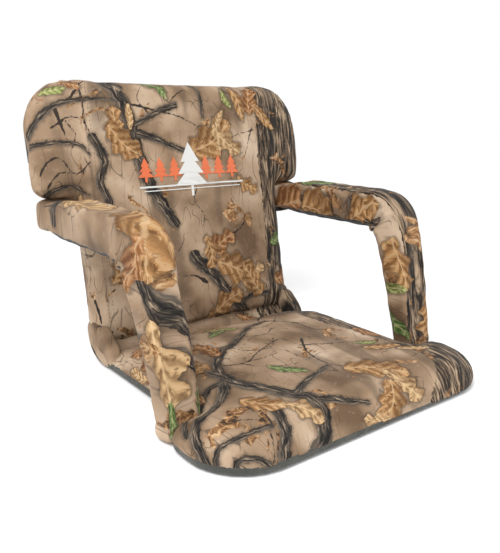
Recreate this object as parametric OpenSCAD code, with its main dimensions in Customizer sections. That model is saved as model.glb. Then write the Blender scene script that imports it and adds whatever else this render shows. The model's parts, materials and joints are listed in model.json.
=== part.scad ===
// Padded folding hunting seat: a seat pad, a folding back pad and two padded armrests.
// +Z up, the sitter faces -Y, origin at the middle of the seat's underside.
// Left is -X and right is +X, as seen by somebody standing in front of the seat.

/* [Seat] */
// Depth from the crease to the front edge
seat_depth = 422; // [400:1:440]
// Width across the front of the seat
seat_front_width = 508; // [500:1:520]
// Radius of the front corners, seen from above
seat_corner_radius = 84; // [60:1:100]
// Width of the narrow part of seat and back, between the arms
waist_width = 408; // [404:1:410]
// Thickness of the seat pad and of the back pad
pad_thickness = 44; // [42:1:48]

/* [Back] */
// Width across the top of the back
back_top_width = 536; // [526:1:550]
// Height of the back along its slope, from the crease
back_height = 437; // [420:1:450]
// Radius of the top corners
back_corner_radius = 78; // [60:1:90]
// Lean of the back and of the arm posts from upright, in degrees
lean = 11; // [9:1:13]

/* [Arms] */
// Width of an armrest sleeve
arm_width = 54; // [50:1:56]
// Distance along the post between its two pivots
post_length = 182; // [175:1:190]
// Height of the armrest top above the elbow pivot
arm_rise = 46; // [42:1:48]
// Distance of the post's lower pivot in front of the hinge axis
post_setback = 267; // [262:1:270]

/* [Hardware] */
// Diameter of the frame tubes
tube_diameter = 19; // [18:0.5:19.5]
// Wall of the frame tubes
tube_wall = 1.2; // [1:0.1:2]
// Thickness of the cover cloth with its lining
cloth = 1.5; // [1:0.1:1.5]
// Diameter of the hinge pins and bolts
pin_diameter = 8; // [7:0.5:9]

/* [Hidden] */
$fn = 48;

left = -1;
right = 1;
eps = 0.01;

tube_r = tube_diameter / 2;
pin_r = pin_diameter / 2;
strap = 1.5;
strap_width = 46;
wing_strap_width = 17;
running_gap = 0.05;
bar_gap = 0.5;
elbow_clearance = 0.4;
vent_r = 1.5;

// Levels through a pad, measured from its outer panel towards the sitter.
tube_level = cloth + strap + tube_r;
sling_level = tube_level + tube_r;
foam_level = sling_level + strap;
wing_level = foam_level + cloth;
tray_level = 14;

// Plan of the pads.
seat_front = -seat_depth / 2;
seat_rear = seat_depth / 2;
wing_rear = -82;
waist = waist_width / 2;
core_half = waist - 6;
core_inset = 6;
core_taper = 0.84;
core_corner_radius = 50;
rear_corner_radius = 14;
wing_corner_radius = 24;
join_radius = 5;

// Hinge axis: where the top plane of the seat pad meets the front plane of the back pad.
hinge_y = seat_rear + 4;
hinge_z = pad_thickness;
crease_drop = 22;

// Back pad, measured along the back from the hinge axis.
back_low = 2 - crease_drop;
back_top = back_height - crease_drop;
back_wing_low = 240;
back_tube_low = 8;

// Badge on the back, from the hinge axis up.
badge_height = 262;
badge_thickness = 0.8;

// Pivots of the arm linkage, a parallelogram with the hinge axis.
post_y = hinge_y - post_setback;
post_z = hinge_z;
elbow_y = post_y + post_length * sin(lean);
elbow_z = post_z + post_length * cos(lean);
arm_length = post_setback;

// Tube centres in from the pads' outlines.
tube_inset = 15;
jog_inset = 17;

// Places across the width.
seat_tube_x = 180;
seat_wing_tube_x = seat_front_width / 2 - tube_inset;
back_tube_x = 184;
back_wing_tube_x = back_top_width / 2 - tube_inset;
plate = 3.5;
plate_eye_r = 12;
plate_foot_r = 6;
seat_plate_feet = [-38, -26];
back_plate_feet = [44, 30];
seat_plate_x = seat_tube_x + tube_r;
plate_gap = 0.5;
back_plate_x = seat_plate_x + plate + plate_gap;
arm_inner_x = waist + 2;
arm_mid_x = arm_inner_x + arm_width / 2;
bar = 5;
bar_half = 8;
post_bar_x = arm_mid_x - bar - bar_gap;
arm_bar_x = arm_mid_x + bar_gap;
bracket = 4;
foot_half = 12;
head_r = 7;
head = 2.5;
post_bracket_x = post_bar_x - bracket - bar_gap;
arm_bracket_x = arm_bar_x - bracket - bar_gap;

// Armrest padding, measured from the elbow pivot.
elbow_clear = 75;
post_front = 32;
elbow_round = 44;
elbow_reach = 38;
arm_rear_rise = 33;
ramp_end = 50;
ramp_start = 95;
post_pad_start = 48;
arm_pad_end = arm_length - 12;

// ---------- helpers ----------

// Round rod between two points.
module rod(from, to, r) {
    run = to - from;
    length = norm(run);
    translate(from)
        rotate([0, acos(run.z / length), atan2(run.y, run.x)])
            cylinder(h = length, r = r);
}

// Chain of rods with ball corners.
module rods(points, r) {
    for (i = [0 : len(points) - 2]) rod(points[i], points[i + 1], r);
    for (i = [1 : len(points) - 2]) translate(points[i]) sphere(r = r);
}

// Quarter bend of tube in the XY plane, from the angle start, counter-clockwise.
module bend(centre, radius, start, r) {
    translate(centre) rotate([0, 0, start])
        rotate_extrude(angle = 90) translate([radius, 0]) circle(r = r);
}

// Rectangle with its own radius at the low and at the high corners.
module soft_rectangle(half, low, high, low_r, high_r) {
    low_side = low + low_r;
    high_side = high - high_r;
    translate([-half, low_side]) square([2 * half, high_side - low_side]);
    translate([-half + low_r, low]) square([2 * (half - low_r), low_r + eps]);
    translate([-half + high_r, high_side - eps]) square([2 * (half - high_r), high_r + eps]);
    for (s = [left, right]) {
        intersection() {
            translate([s * (half - low_r), low_side]) circle(r = low_r);
            translate([-half, low]) square([2 * half, low_r + eps]);
        }
        intersection() {
            translate([s * (half - high_r), high_side]) circle(r = high_r);
            translate([-half, high_side - eps]) square([2 * half, high_r + eps]);
        }
    }
}

// Everything below is drawn in the back's own frame: y runs out through the rear, z up the back.
module on_back() {
    translate([0, hinge_y, hinge_z]) rotate([-lean, 0, 0]) children();
}

// Post frame: origin at the lower pivot, z up the post, y towards the rear.
module on_post() {
    translate([0, post_y, post_z]) rotate([-lean, 0, 0]) children();
}

// Arm frame: origin at the elbow pivot, y towards the back.
module on_arm() {
    translate([0, elbow_y, elbow_z]) children();
}

// Extrusion along X of a shape drawn in Y and Z, between x = from and x = from + width.
module across(from, width) {
    translate([from, 0, 0]) rotate([90, 0, 90]) linear_extrude(width) children();
}

// The same, mirrored to the other side of the seat when side is left.
module across_side(side, from, width) {
    across(side == right ? from : -from - width, width) children();
}

// Pin along X with a head at each end.
module cross_pin(side, from, to, head_r, head) {
    across_side(side, from, to - from) circle(r = pin_r);
    across_side(side, from - head, head) circle(r = head_r);
    across_side(side, to, head) circle(r = head_r);
}

// ---------- outlines of the pads ----------

module seat_outline(inset) {
    half = seat_front_width / 2 - inset;
    soft_rectangle(half, seat_front + inset, wing_rear - inset,
        seat_corner_radius - inset, wing_corner_radius - inset);
    soft_rectangle(waist - inset, seat_front + seat_corner_radius, seat_rear - inset,
        join_radius, rear_corner_radius - inset);
}

module back_outline(inset) {
    half = back_top_width / 2 - inset;
    soft_rectangle(half, back_wing_low + inset, back_top - inset,
        wing_corner_radius - inset, back_corner_radius - inset);
    soft_rectangle(waist - inset, back_low + inset, back_top - back_corner_radius,
        rear_corner_radius - inset, join_radius);
}

// Raised, tapering middle of a pad between two levels, drawn with the thickness along Z.
module pad_core(low, high, inset, bottom, top) {
    middle = (low + high) / 2;
    translate([0, middle, bottom])
        linear_extrude(top - bottom, scale = core_taper, $fn = 32)
            soft_rectangle(core_half - inset, low + inset - middle, high - inset - middle,
                core_corner_radius - inset, core_corner_radius - inset, $fn = 32);
}

// Room beside the hinge plates, between two levels of a pad.
module hinge_pocket(side, along_low, along_high, bottom = -5, top = pad_thickness + 5) {
    inner = seat_plate_x - 4;
    outer = waist + 5;
    translate([side == right ? inner : -outer, along_low, bottom])
        cube([outer - inner, along_high - along_low, top - bottom]);
}

module seat_hinge_pockets() {
    for (s = [left, right]) hinge_pocket(s, seat_rear - 40, seat_rear + 5);
}

module back_hinge_pockets() {
    for (s = [left, right]) hinge_pocket(s, back_low - 5, 52);
}

// ---------- seat ----------

module seat_tube_path(r) {
    z = tube_level;
    front = seat_front + tube_inset;
    corner = seat_corner_radius - tube_inset;
    jog = wing_rear - jog_inset;
    bend_y = front + corner;
    for (s = [left, right]) {
        rods([
            [0, seat_rear - tube_inset, z], [s * seat_tube_x, seat_rear - tube_inset, z],
            [s * seat_tube_x, jog, z], [s * seat_wing_tube_x, jog, z],
            [s * seat_wing_tube_x, bend_y, z]
        ], r);
        rod([0, front, z], [s * (seat_wing_tube_x - corner), front, z], r);
        bend([s * (seat_wing_tube_x - corner), bend_y, z], corner, s == right ? 270 : 180, r);
    }
}

// Bent steel tube with a small vent hole under its rear run.
module seat_frame() color("dimgray") difference() {
    seat_tube_path(tube_r);
    seat_tube_path(tube_r - tube_wall);
    translate([60, seat_rear - tube_inset, 0]) cylinder(h = tube_level, r = vent_r);
}

// One sling strap with a sewn loop round the tube at each end.
module sling(half, y, width = strap_width) {
    translate([-half, y - width / 2, sling_level]) cube([2 * half, width, strap]);
    for (s = [left, right])
        translate([s * half, y + width / 2, tube_level]) rotate([90, 0, 0]) difference() {
            cylinder(h = width, r = tube_r + strap);
            translate([0, 0, -1]) cylinder(h = width + 2, r = tube_r);
        }
}

module seat_webbing() color("black") {
    for (y = [0, 72, 144]) sling(seat_tube_x, y);
    sling(seat_wing_tube_x, seat_front + seat_corner_radius + wing_strap_width / 2, wing_strap_width);
}

module seat_core(inset, bottom, top) {
    pad_core(seat_front + core_inset, seat_rear - core_inset, inset, bottom, top);
}

module seat_foam() color("khaki") difference() {
    seat_core(cloth, foam_level, pad_thickness - cloth);
    seat_hinge_pockets();
}

module seat_cover() color("tan") difference() {
    union() {
        translate([0, 0, tray_level]) linear_extrude(wing_level - tray_level) seat_outline(0);
        seat_core(0, wing_level - eps, pad_thickness);
    }
    translate([0, 0, tray_level - 1]) linear_extrude(foam_level - tray_level + 1 + eps) seat_outline(cloth);
    seat_core(cloth, foam_level, pad_thickness - cloth);
    seat_hinge_pockets();
    bracket_slots(post_y);
}

// Tray of plain base cloth under the seat.
module seat_base_panel() color("darkslategray") difference() {
    linear_extrude(tray_level) seat_outline(0);
    translate([0, 0, cloth]) linear_extrude(tray_level) seat_outline(cloth);
    bracket_slots(post_y);
    for (s = [left, right]) hinge_pocket(s, seat_rear - 40, seat_rear + 5, tray_level - 8, tray_level + 2);
}

// ---------- hinge between seat and back ----------

// Hinge plate with its hole at the origin and two rounded feet on a tube.
module plate_shape(foot_a, foot_b, hole_r) {
    difference() {
        hull() {
            circle(r = plate_eye_r);
            translate(foot_a) circle(r = plate_foot_r);
            translate(foot_b) circle(r = plate_foot_r);
        }
        circle(r = hole_r);
    }
}

// Pad frame of the back: y runs up the back and z from the rear panel towards the sitter.
module on_back_pad() {
    on_back() translate([0, pad_thickness, 0]) rotate([90, 0, 0]) children();
}

// Seat plate: from the frame's side tube up and back to the hinge axis.
module hinge_seat_plate(side) color("silver")
    translate([0, hinge_y, hinge_z]) across_side(side, seat_plate_x, plate)
        plate_shape([seat_plate_feet[0], tube_level - hinge_z],
            [seat_plate_feet[1], tube_level - hinge_z], pin_r);

module hinge_seat_plate_left() { hinge_seat_plate(left); }
module hinge_seat_plate_right() { hinge_seat_plate(right); }

// Back plate: from the hinge axis up to the back frame's side tube.
module hinge_back_plate(side) color("silver")
    on_back() across_side(side, back_plate_x, plate)
        plate_shape([pad_thickness - tube_level, back_plate_feet[0]],
            [pad_thickness - tube_level, back_plate_feet[1]], pin_r + running_gap);

module hinge_back_plate_left() { hinge_back_plate(left); }
module hinge_back_plate_right() { hinge_back_plate(right); }

module hinge_pins() color("gray") for (side = [left, right])
    translate([0, hinge_y, hinge_z])
        cross_pin(side, seat_plate_x, back_plate_x + plate + plate_gap, head_r, head);

// Friction washers between the plates and under the outer head.
module hinge_washers() color("goldenrod") for (side = [left, right], x = [seat_plate_x, back_plate_x])
    translate([0, hinge_y, hinge_z])
        across_side(side, x + plate + running_gap, plate_gap - 2 * running_gap) difference() {
        circle(r = 9);
        circle(r = pin_r + running_gap);
    }

// ---------- brackets that carry the armrests ----------

module bracket_foot(along, gap = 0) {
    translate([along - foot_half - gap, tube_level - bracket / 2 - gap])
        square([2 * (foot_half + gap), bracket + 2 * gap]);
}

// Angle bracket welded to a side tube, drawn in a pad's frame.
module angle_bracket(side, tube_x, x, along) {
    tube_side = tube_x + tube_r;
    across_side(side, tube_side, x - tube_side) bracket_foot(along);
    across_side(side, x, bracket) difference() {
        hull() {
            translate([along, pad_thickness]) circle(r = 10);
            bracket_foot(along);
        }
        translate([along, pad_thickness]) circle(r = pin_r);
    }
}

module bracket_slots(along) {
    for (side = [left, right])
        across_side(side, waist - 4, 6) bracket_foot(along, 2);
}

module post_bracket_left() color("dimgray") angle_bracket(left, seat_tube_x, post_bracket_x, post_y);
module post_bracket_right() color("dimgray") angle_bracket(right, seat_tube_x, post_bracket_x, post_y);

module arm_bracket_left() color("dimgray")
    on_back_pad() angle_bracket(left, back_tube_x, arm_bracket_x, post_length);
module arm_bracket_right() color("dimgray")
    on_back_pad() angle_bracket(right, back_tube_x, arm_bracket_x, post_length);

module post_bolts() color("gray") for (side = [left, right])
    translate([0, post_y, post_z]) cross_pin(side, post_bracket_x, post_bar_x + bar + bar_gap, head_r, head);

module arm_bolts() color("gray") for (side = [left, right])
    on_back() translate([0, 0, post_length]) cross_pin(side, arm_bracket_x, arm_bar_x + bar + bar_gap, head_r, head);

// ---------- back ----------

module back_tube_path(r) {
    z = tube_level;
    low = back_tube_low;
    top = back_top - tube_inset;
    corner = back_corner_radius - tube_inset;
    jog = back_wing_low + jog_inset;
    bend_y = top - corner;
    for (s = [left, right]) {
        rods([
            [0, low, z], [s * back_tube_x, low, z],
            [s * back_tube_x, jog, z], [s * back_wing_tube_x, jog, z],
            [s * back_wing_tube_x, bend_y, z]
        ], r);
        rod([0, top, z], [s * (back_wing_tube_x - corner), top, z], r);
        bend([s * (back_wing_tube_x - corner), bend_y, z], corner, s == right ? 0 : 90, r);
    }
}

module back_frame() color("dimgray") on_back_pad() difference() {
    back_tube_path(tube_r);
    back_tube_path(tube_r - tube_wall);
    translate([60, back_tube_low, 0]) cylinder(h = tube_level, r = vent_r);
}

module back_webbing() color("black") on_back_pad() {
    for (h = [76, 134, 220]) sling(back_tube_x, h);
    sling(back_wing_tube_x, back_wing_low + 70);
}

module back_core(inset, bottom, top) {
    pad_core(back_low + core_inset, back_top - core_inset, inset, bottom, top);
}

module back_foam() color("khaki") on_back_pad() difference() {
    back_core(cloth, foam_level, pad_thickness - cloth);
    back_hinge_pockets();
}

module back_cover() color("tan") on_back_pad() difference() {
    union() {
        translate([0, 0, tray_level]) linear_extrude(wing_level - tray_level) back_outline(0);
        back_core(0, wing_level - eps, pad_thickness);
    }
    translate([0, 0, tray_level - 1]) linear_extrude(foam_level - tray_level + 1 + eps) back_outline(cloth);
    back_core(cloth, foam_level, pad_thickness - cloth);
    back_hinge_pockets();
    bracket_slots(post_length);
}

// Tray of plain base cloth over the rear of the back.
module back_panel() color("darkslategray") on_back_pad() difference() {
    linear_extrude(tray_level) back_outline(0);
    translate([0, 0, cloth]) linear_extrude(tray_level) back_outline(cloth);
    bracket_slots(post_length);
    for (s = [left, right]) hinge_pocket(s, back_low - 5, 52, 4, tray_level + 4);
}

// Stitched badge: three plain fir trees on a bar.
module back_emblem() color("orangered")
    on_back_pad() translate([0, badge_height, pad_thickness]) linear_extrude(badge_thickness) {
        translate([-60, 0]) square([120, 5]);
        for (x = [-38, 0, 38]) {
            translate([x - 2, 4]) square([4, 10]);
            for (tier = [0 : 2])
                translate([x, 12 + 13 * tier])
                    polygon([[tier * 4 - 18, 0], [18 - tier * 4, 0], [0, 20]]);
        }
    }

// ---------- armrests ----------

// Flat link bar between two pivots at distance length, bored at both ends.
module link_bar(length, near_hole, far_hole) {
    difference() {
        union() {
            circle(r = bar_half);
            translate([length, 0]) circle(r = bar_half);
            translate([0, -bar_half]) square([length, 2 * bar_half]);
        }
        circle(r = near_hole);
        translate([length, 0]) circle(r = far_hole);
    }
}

module arm_bar(side) color("dimgray")
    on_arm() across_side(side, arm_bar_x, bar)
        link_bar(arm_length, pin_r + elbow_clearance, pin_r + running_gap);

module post_bar(side) color("dimgray")
    on_post() across_side(side, post_bar_x, bar)
        rotate([0, 0, 90]) link_bar(post_length, pin_r + running_gap, pin_r);

// Side view of the arm padding: y from the elbow pivot, z above it. It grows by g all round.
module arm_side(g) {
    low = bar_half + bar_gap;
    round_mid = elbow_round - elbow_reach;
    polygon([
        [round_mid, low - g], [elbow_clear - g, low - g], [elbow_clear - g, -low],
        [arm_pad_end + g, -low], [arm_pad_end + g, arm_rear_rise + g],
        [arm_pad_end - ramp_end, arm_rear_rise + g], [arm_pad_end - ramp_start, arm_rise + g],
        [round_mid, arm_rise + g]
    ]);
    intersection() {
        translate([round_mid, arm_rise - elbow_round]) circle(r = elbow_round + g);
        translate([-2 * elbow_round, low - g]) square([2 * elbow_round + round_mid + eps, elbow_round + arm_rise]);
    }
}

// Side view of the post padding: y from the post's centre line, z up from the lower pivot.
module post_side(g) {
    low = bar_half + bar_gap;
    top = post_length - elbow_reach;
    polygon([
        [-post_front - g, post_pad_start - g], [low, post_pad_start - g],
        [low, post_length - elbow_clear + g], [-low + g, post_length - elbow_clear + g],
        [-low + g, top + g], [-post_front - g, top + g]
    ]);
}

module arm_foam(side) color("khaki") on_arm() difference() {
    across_side(side, arm_inner_x + cloth, arm_width - 2 * cloth) arm_side(-cloth);
    across_side(side, arm_bar_x, bar) translate([0, -bar_half]) square([arm_length + 20, 2 * bar_half]);
}

module arm_cover(side) color("tan") on_arm() difference() {
    across_side(side, arm_inner_x, arm_width) arm_side(0);
    across_side(side, arm_inner_x + cloth, arm_width - 2 * cloth) {
        arm_side(-cloth);
        translate([elbow_clear + cloth, -20]) square([arm_pad_end - elbow_clear - 2 * cloth, 20]);
    }
    across_side(side, arm_bar_x - bar_gap, bar + 2 * bar_gap)
        translate([0, -bar_half - bar_gap]) square([arm_length + 20, 2 * (bar_half + bar_gap)]);
}

module arm_underside(side) color("black")
    on_arm() across_side(side, arm_inner_x, arm_width)
        translate([elbow_clear, -bar_half - bar_gap - cloth]) square([arm_pad_end - elbow_clear, cloth]);

module post_foam(side) color("khaki") on_post() difference() {
    across_side(side, arm_inner_x + cloth, arm_width - 2 * cloth) post_side(-cloth);
    across_side(side, post_bar_x, bar) translate([-bar_half, 0]) square([2 * bar_half, post_length + 20]);
}

module post_cover(side) color("tan") on_post() difference() {
    across_side(side, arm_inner_x, arm_width) post_side(0);
    across_side(side, arm_inner_x + cloth, arm_width - 2 * cloth) {
        post_side(-cloth);
        translate([0, post_pad_start + cloth])
            square([20, post_length - elbow_clear - post_pad_start - 2 * cloth]);
    }
    across_side(side, post_bar_x - bar_gap, bar + 2 * bar_gap)
        translate([-bar_half - bar_gap, 0]) square([2 * (bar_half + bar_gap), post_length + 20]);
}

module post_rear_strip(side) color("black")
    on_post() across_side(side, arm_inner_x, arm_width)
        translate([bar_half + bar_gap, post_pad_start])
            square([cloth, post_length - elbow_clear - post_pad_start]);

module elbow_pin(side) color("gray")
    on_post() translate([0, 0, post_length]) cross_pin(side, post_bar_x, arm_bar_x + bar + bar_gap, head_r, head);

module arm_bar_left() { arm_bar(left); }
module arm_bar_right() { arm_bar(right); }
module arm_foam_left() { arm_foam(left); }
module arm_foam_right() { arm_foam(right); }
module arm_cover_left() { arm_cover(left); }
module arm_cover_right() { arm_cover(right); }
module arm_underside_left() { arm_underside(left); }
module arm_underside_right() { arm_underside(right); }
module post_bar_left() { post_bar(left); }
module post_bar_right() { post_bar(right); }
module post_foam_left() { post_foam(left); }
module post_foam_right() { post_foam(right); }
module post_cover_left() { post_cover(left); }
module post_cover_right() { post_cover(right); }
module post_rear_strip_left() { post_rear_strip(left); }
module post_rear_strip_right() { post_rear_strip(right); }
module elbow_pin_left() { elbow_pin(left); }
module elbow_pin_right() { elbow_pin(right); }

seat_frame();
seat_webbing();
seat_foam();
seat_cover();
seat_base_panel();
hinge_seat_plate_left();
hinge_seat_plate_right();
hinge_pins();
hinge_washers();
post_bracket_left();
post_bracket_right();
post_bolts();
back_frame();
back_webbing();
back_foam();
back_cover();
back_panel();
back_emblem();
hinge_back_plate_left();
hinge_back_plate_right();
arm_bracket_left();
arm_bracket_right();
arm_bolts();
arm_bar_left();
arm_foam_left();
arm_cover_left();
arm_underside_left();
arm_bar_right();
arm_foam_right();
arm_cover_right();
arm_underside_right();
post_bar_left();
post_foam_left();
post_cover_left();
post_rear_strip_left();
elbow_pin_left();
post_bar_right();
post_foam_right();
post_cover_right();
post_rear_strip_right();
elbow_pin_right();
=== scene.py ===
"""Looks of the padded folding hunting seat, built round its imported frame.

Lengths in this script are millimetres in the frame's axes. mesh_object() turns them into metres.
The seat pad is drawn in (x, y, z), the back pad in (x, height along the back, distance out of its
rear panel), and each armrest sleeve in (distance along the sleeve, distance round it).
"""

import json
import math

import bmesh
import bpy
import numpy as np
from mathutils import Euler, Matrix, Vector
from mathutils.bvhtree import BVHTree


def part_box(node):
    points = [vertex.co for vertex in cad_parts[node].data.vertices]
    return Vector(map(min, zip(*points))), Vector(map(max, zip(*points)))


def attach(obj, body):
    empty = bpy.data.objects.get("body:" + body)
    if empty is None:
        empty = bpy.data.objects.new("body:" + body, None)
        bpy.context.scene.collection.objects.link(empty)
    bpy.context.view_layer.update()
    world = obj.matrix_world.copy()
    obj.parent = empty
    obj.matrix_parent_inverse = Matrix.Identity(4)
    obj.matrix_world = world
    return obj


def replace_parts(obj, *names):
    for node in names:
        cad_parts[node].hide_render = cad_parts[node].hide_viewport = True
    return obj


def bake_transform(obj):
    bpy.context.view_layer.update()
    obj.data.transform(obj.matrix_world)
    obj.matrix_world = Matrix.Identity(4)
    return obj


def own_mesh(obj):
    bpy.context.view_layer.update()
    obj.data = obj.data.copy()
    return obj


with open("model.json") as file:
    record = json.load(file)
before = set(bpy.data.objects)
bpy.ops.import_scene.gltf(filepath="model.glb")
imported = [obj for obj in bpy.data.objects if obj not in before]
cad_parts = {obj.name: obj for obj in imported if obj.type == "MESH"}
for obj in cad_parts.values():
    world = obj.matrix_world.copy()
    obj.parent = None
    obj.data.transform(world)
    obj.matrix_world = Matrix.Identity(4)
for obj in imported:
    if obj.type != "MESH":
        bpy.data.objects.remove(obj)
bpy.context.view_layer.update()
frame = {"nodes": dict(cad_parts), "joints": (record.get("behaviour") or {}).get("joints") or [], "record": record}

MM = 0.001
LEAN = math.radians(11)
SIN, COS = math.sin(LEAN), math.cos(LEAN)
BACK_FACING = Vector((0, -COS, SIN))
SIDES = {"left": -1, "right": 1}
PIVOTS = {j["name"]: np.array(j["pos_m"]) / MM for j in frame["joints"]}
HINGE = PIVOTS["back_fold"]
POST = PIVOTS["post_pivot_right"]
ARM = PIVOTS["arm_pivot_right"]
ELBOW = POST + (ARM - HINGE) * [0, 1, 1]
PAD = HINGE[2]

SEAT_LOW, SEAT_HIGH = (np.array(c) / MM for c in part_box("seat_cover"))
BACK_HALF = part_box("back_cover")[1][0] / MM
SEAT_HALF = SEAT_HIGH[0]
# Half the width of seat and back between the arms, and the rear edge of the seat's front wings
WAIST = 204
WING_REAR = -82
# Ends of the back pad along its slope, and the low edge of its wings
BACK_LOW, BACK_TOP = -20, 415
BACK_WING = 227
# Corner radii seen square on: seat front, back top, outer wing corners and the notches inside them
FRONT_CORNER, TOP_CORNER, WING_CORNER, NOTCH_CORNER = 84, 88, 24, 14
# Upright seams of the back pad, and the levels of the hems where printed cloth meets plain cloth
SEAMS = (-177, 229)
HEM_LEFT, HEM_RIGHT = 16, 7
BACK_HEM = 4.5
STITCH_STEP = 6.4

CAMERA_PLACE = (-0.608, -0.706, 0.404)
# Pitch, yaw and roll in degrees
CAMERA_TURN = (-14.62, -37.78, 0.58)
CAMERA_LENS = 46.3


# ---------- frames ----------


def on_back(x, height, level):
    """Points of the back pad: height above the hinge axis along the back, level out of the rear panel."""
    out = PAD - level
    y = HINGE[1] + out * COS + height * SIN
    z = HINGE[2] - out * SIN + height * COS
    return np.stack(np.broadcast_arrays(x, y, z), axis=-1)


# ---------- small tools ----------


def smoothstep(low, high, value):
    """Soft step from 0 at low to 1 at high."""
    t = np.clip((value - low) / (high - low), 0, 1)
    return t * t * (3 - 2 * t)


def ripple(points, scale, seed, octaves=2):
    """Smooth repeatable bumps between -1 and 1 over 2D points, made of seeded sine waves."""
    rng = np.random.default_rng(seed)
    total = np.zeros(len(points))
    for octave in range(octaves):
        for _ in range(5):
            turn = rng.uniform(0, 2 * math.pi)
            wave = 2 ** octave / scale * rng.uniform(0.7, 1.3)
            phase = rng.uniform(0, 2 * math.pi)
            run = points[:, 0] * math.cos(turn) + points[:, 1] * math.sin(turn)
            total += np.sin(2 * math.pi * run * wave + phase) / (5 * 1.6 ** octave)
    return total


def smooth_line(points, steps=6):
    """Catmull-Rom curve through rows of numbers."""
    rows = np.array(points, float)
    if len(rows) < 3:
        share = np.linspace(0, 1, steps + 1)[:, None]
        return rows[0] * (1 - share) + rows[-1] * share
    padded = np.vstack([2 * rows[0] - rows[1], rows, 2 * rows[-1] - rows[-2]])
    made = []
    for i in range(1, len(padded) - 2):
        p0, p1, p2, p3 = padded[i - 1 : i + 3]
        for k in range(steps):
            t = k / steps
            made.append(
                0.5 * (2 * p1 + (p2 - p0) * t + (2 * p0 - 5 * p1 + 4 * p2 - p3) * t * t
                       + (3 * p1 - p0 - 3 * p2 + p3) * t ** 3)
            )
    made.append(rows[-1])
    return np.array(made)


def line_field(points, line):
    """Signed distance outside a line with a half width at each point, distance along it and across it."""
    best = np.full(len(points), 1e3)
    along = np.zeros(len(points))
    across = np.zeros(len(points))
    start = 0.0
    for a, b in zip(line[:-1], line[1:]):
        run = b[:2] - a[:2]
        length = math.hypot(*run)
        if length < 1e-6:
            continue
        run = run / length
        off = points - a[:2]
        t = np.clip(off @ run, 0, length)
        side = off[:, 0] * run[1] - off[:, 1] * run[0]
        width = a[2] + (b[2] - a[2]) * t / length
        away = np.hypot(off[:, 0] - t * run[0], off[:, 1] - t * run[1]) - width
        nearer = away < best
        best[nearer] = away[nearer]
        along[nearer] = (start + t)[nearer]
        across[nearer] = (side / np.maximum(width, 0.5))[nearer]
        start += length
    return best, along, across


def mesh_object(name, points, faces):
    """Smooth-shaded object from points in millimetres."""
    mesh = bpy.data.meshes.new(name)
    mesh.from_pydata((np.asarray(points, float) * MM).tolist(), [], faces)
    mesh.update()
    obj = bpy.data.objects.new(name, mesh)
    bpy.context.scene.collection.objects.link(obj)
    return smooth(obj)


def smooth(obj):
    obj.data.polygons.foreach_set("use_smooth", [True] * len(obj.data.polygons))
    return obj


def points_of(obj):
    """Vertices in millimetres."""
    co = np.zeros(len(obj.data.vertices) * 3)
    obj.data.vertices.foreach_get("co", co)
    return co.reshape(-1, 3) / MM


def set_points(obj, points):
    obj.data.vertices.foreach_set("co", (np.asarray(points) * MM).ravel())
    obj.data.update()


def normals_of(obj):
    out = np.zeros(len(obj.data.vertices) * 3)
    obj.data.vertices.foreach_get("normal", out)
    return out.reshape(-1, 3)


def bake_modifiers(obj):
    """Applies every modifier of the object to its mesh."""
    graph = bpy.context.evaluated_depsgraph_get()
    mesh = bpy.data.meshes.new_from_object(obj.evaluated_get(graph))
    obj.modifiers.clear()
    old = obj.data
    obj.data = mesh
    bpy.data.meshes.remove(old)
    return smooth(obj)


def subdivide(obj, levels=1):
    step = obj.modifiers.new("finer", "SUBSURF")
    step.levels = levels
    step.render_levels = levels
    return bake_modifiers(obj)


def thicken(obj, what):
    """Gives a surface the thickness of cloth, inward."""
    step = obj.modifiers.new(what, "SOLIDIFY")
    step.thickness = 1.2 * MM
    step.offset = -1
    return bake_modifiers(obj)


def voxel_remesh(obj, size):
    step = obj.modifiers.new("even", "REMESH")
    step.mode = "VOXEL"
    step.voxel_size = size * MM
    return bake_modifiers(obj)


def puff(obj, held, cap, pressure, frames=16):
    """Cloth simulation: air pressure swells the mesh between its held points, by no more than cap."""
    rest = points_of(obj)
    group = obj.vertex_groups.new(name="held")
    group.add([int(i) for i in np.nonzero(held)[0]], 1.0, "REPLACE")
    cloth = obj.modifiers.new("puff", "CLOTH")
    cloth.settings.use_pressure = True
    cloth.settings.uniform_pressure_force = pressure
    cloth.settings.vertex_group_mass = "held"
    cloth.settings.effector_weights.gravity = 0
    cloth.settings.shrink_min = -0.025
    cloth.settings.quality = 4
    cloth.collision_settings.use_collision = False
    cloth.point_cache.frame_end = frames + 2
    scene = bpy.context.scene
    for number in range(1, frames + 1):
        scene.frame_set(number)
    graph = bpy.context.evaluated_depsgraph_get()
    moved = bpy.data.meshes.new_from_object(obj.evaluated_get(graph))
    co = np.zeros(len(moved.vertices) * 3)
    moved.vertices.foreach_get("co", co)
    bpy.data.meshes.remove(moved)
    obj.modifiers.clear()
    obj.vertex_groups.clear()
    scene.frame_set(1)
    move = co.reshape(-1, 3) / MM - rest
    length = np.linalg.norm(move, axis=1)
    share = cap * np.tanh(length / cap) / np.maximum(length, 1e-6)
    set_points(obj, rest + move * share[:, None])
    return obj


def split_faces(obj, kind, names):
    """Cuts an object into one object per kind. A face goes with the most common kind of its vertices."""
    verts_kind = np.asarray(kind, int)
    face_kind = [int(np.bincount(verts_kind[list(f.vertices)]).argmax()) for f in obj.data.polygons]
    made = []
    for number, name in enumerate(names):
        mesh = bmesh.new()
        mesh.from_mesh(obj.data)
        mesh.faces.ensure_lookup_table()
        doomed = [f for f in mesh.faces if face_kind[f.index] != number]
        bmesh.ops.delete(mesh, geom=doomed, context="FACES")
        data = bpy.data.meshes.new(name)
        mesh.to_mesh(data)
        mesh.free()
        piece = bpy.data.objects.new(name, data)
        bpy.context.scene.collection.objects.link(piece)
        made.append(smooth(piece))
    drop(obj)
    return made


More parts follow.
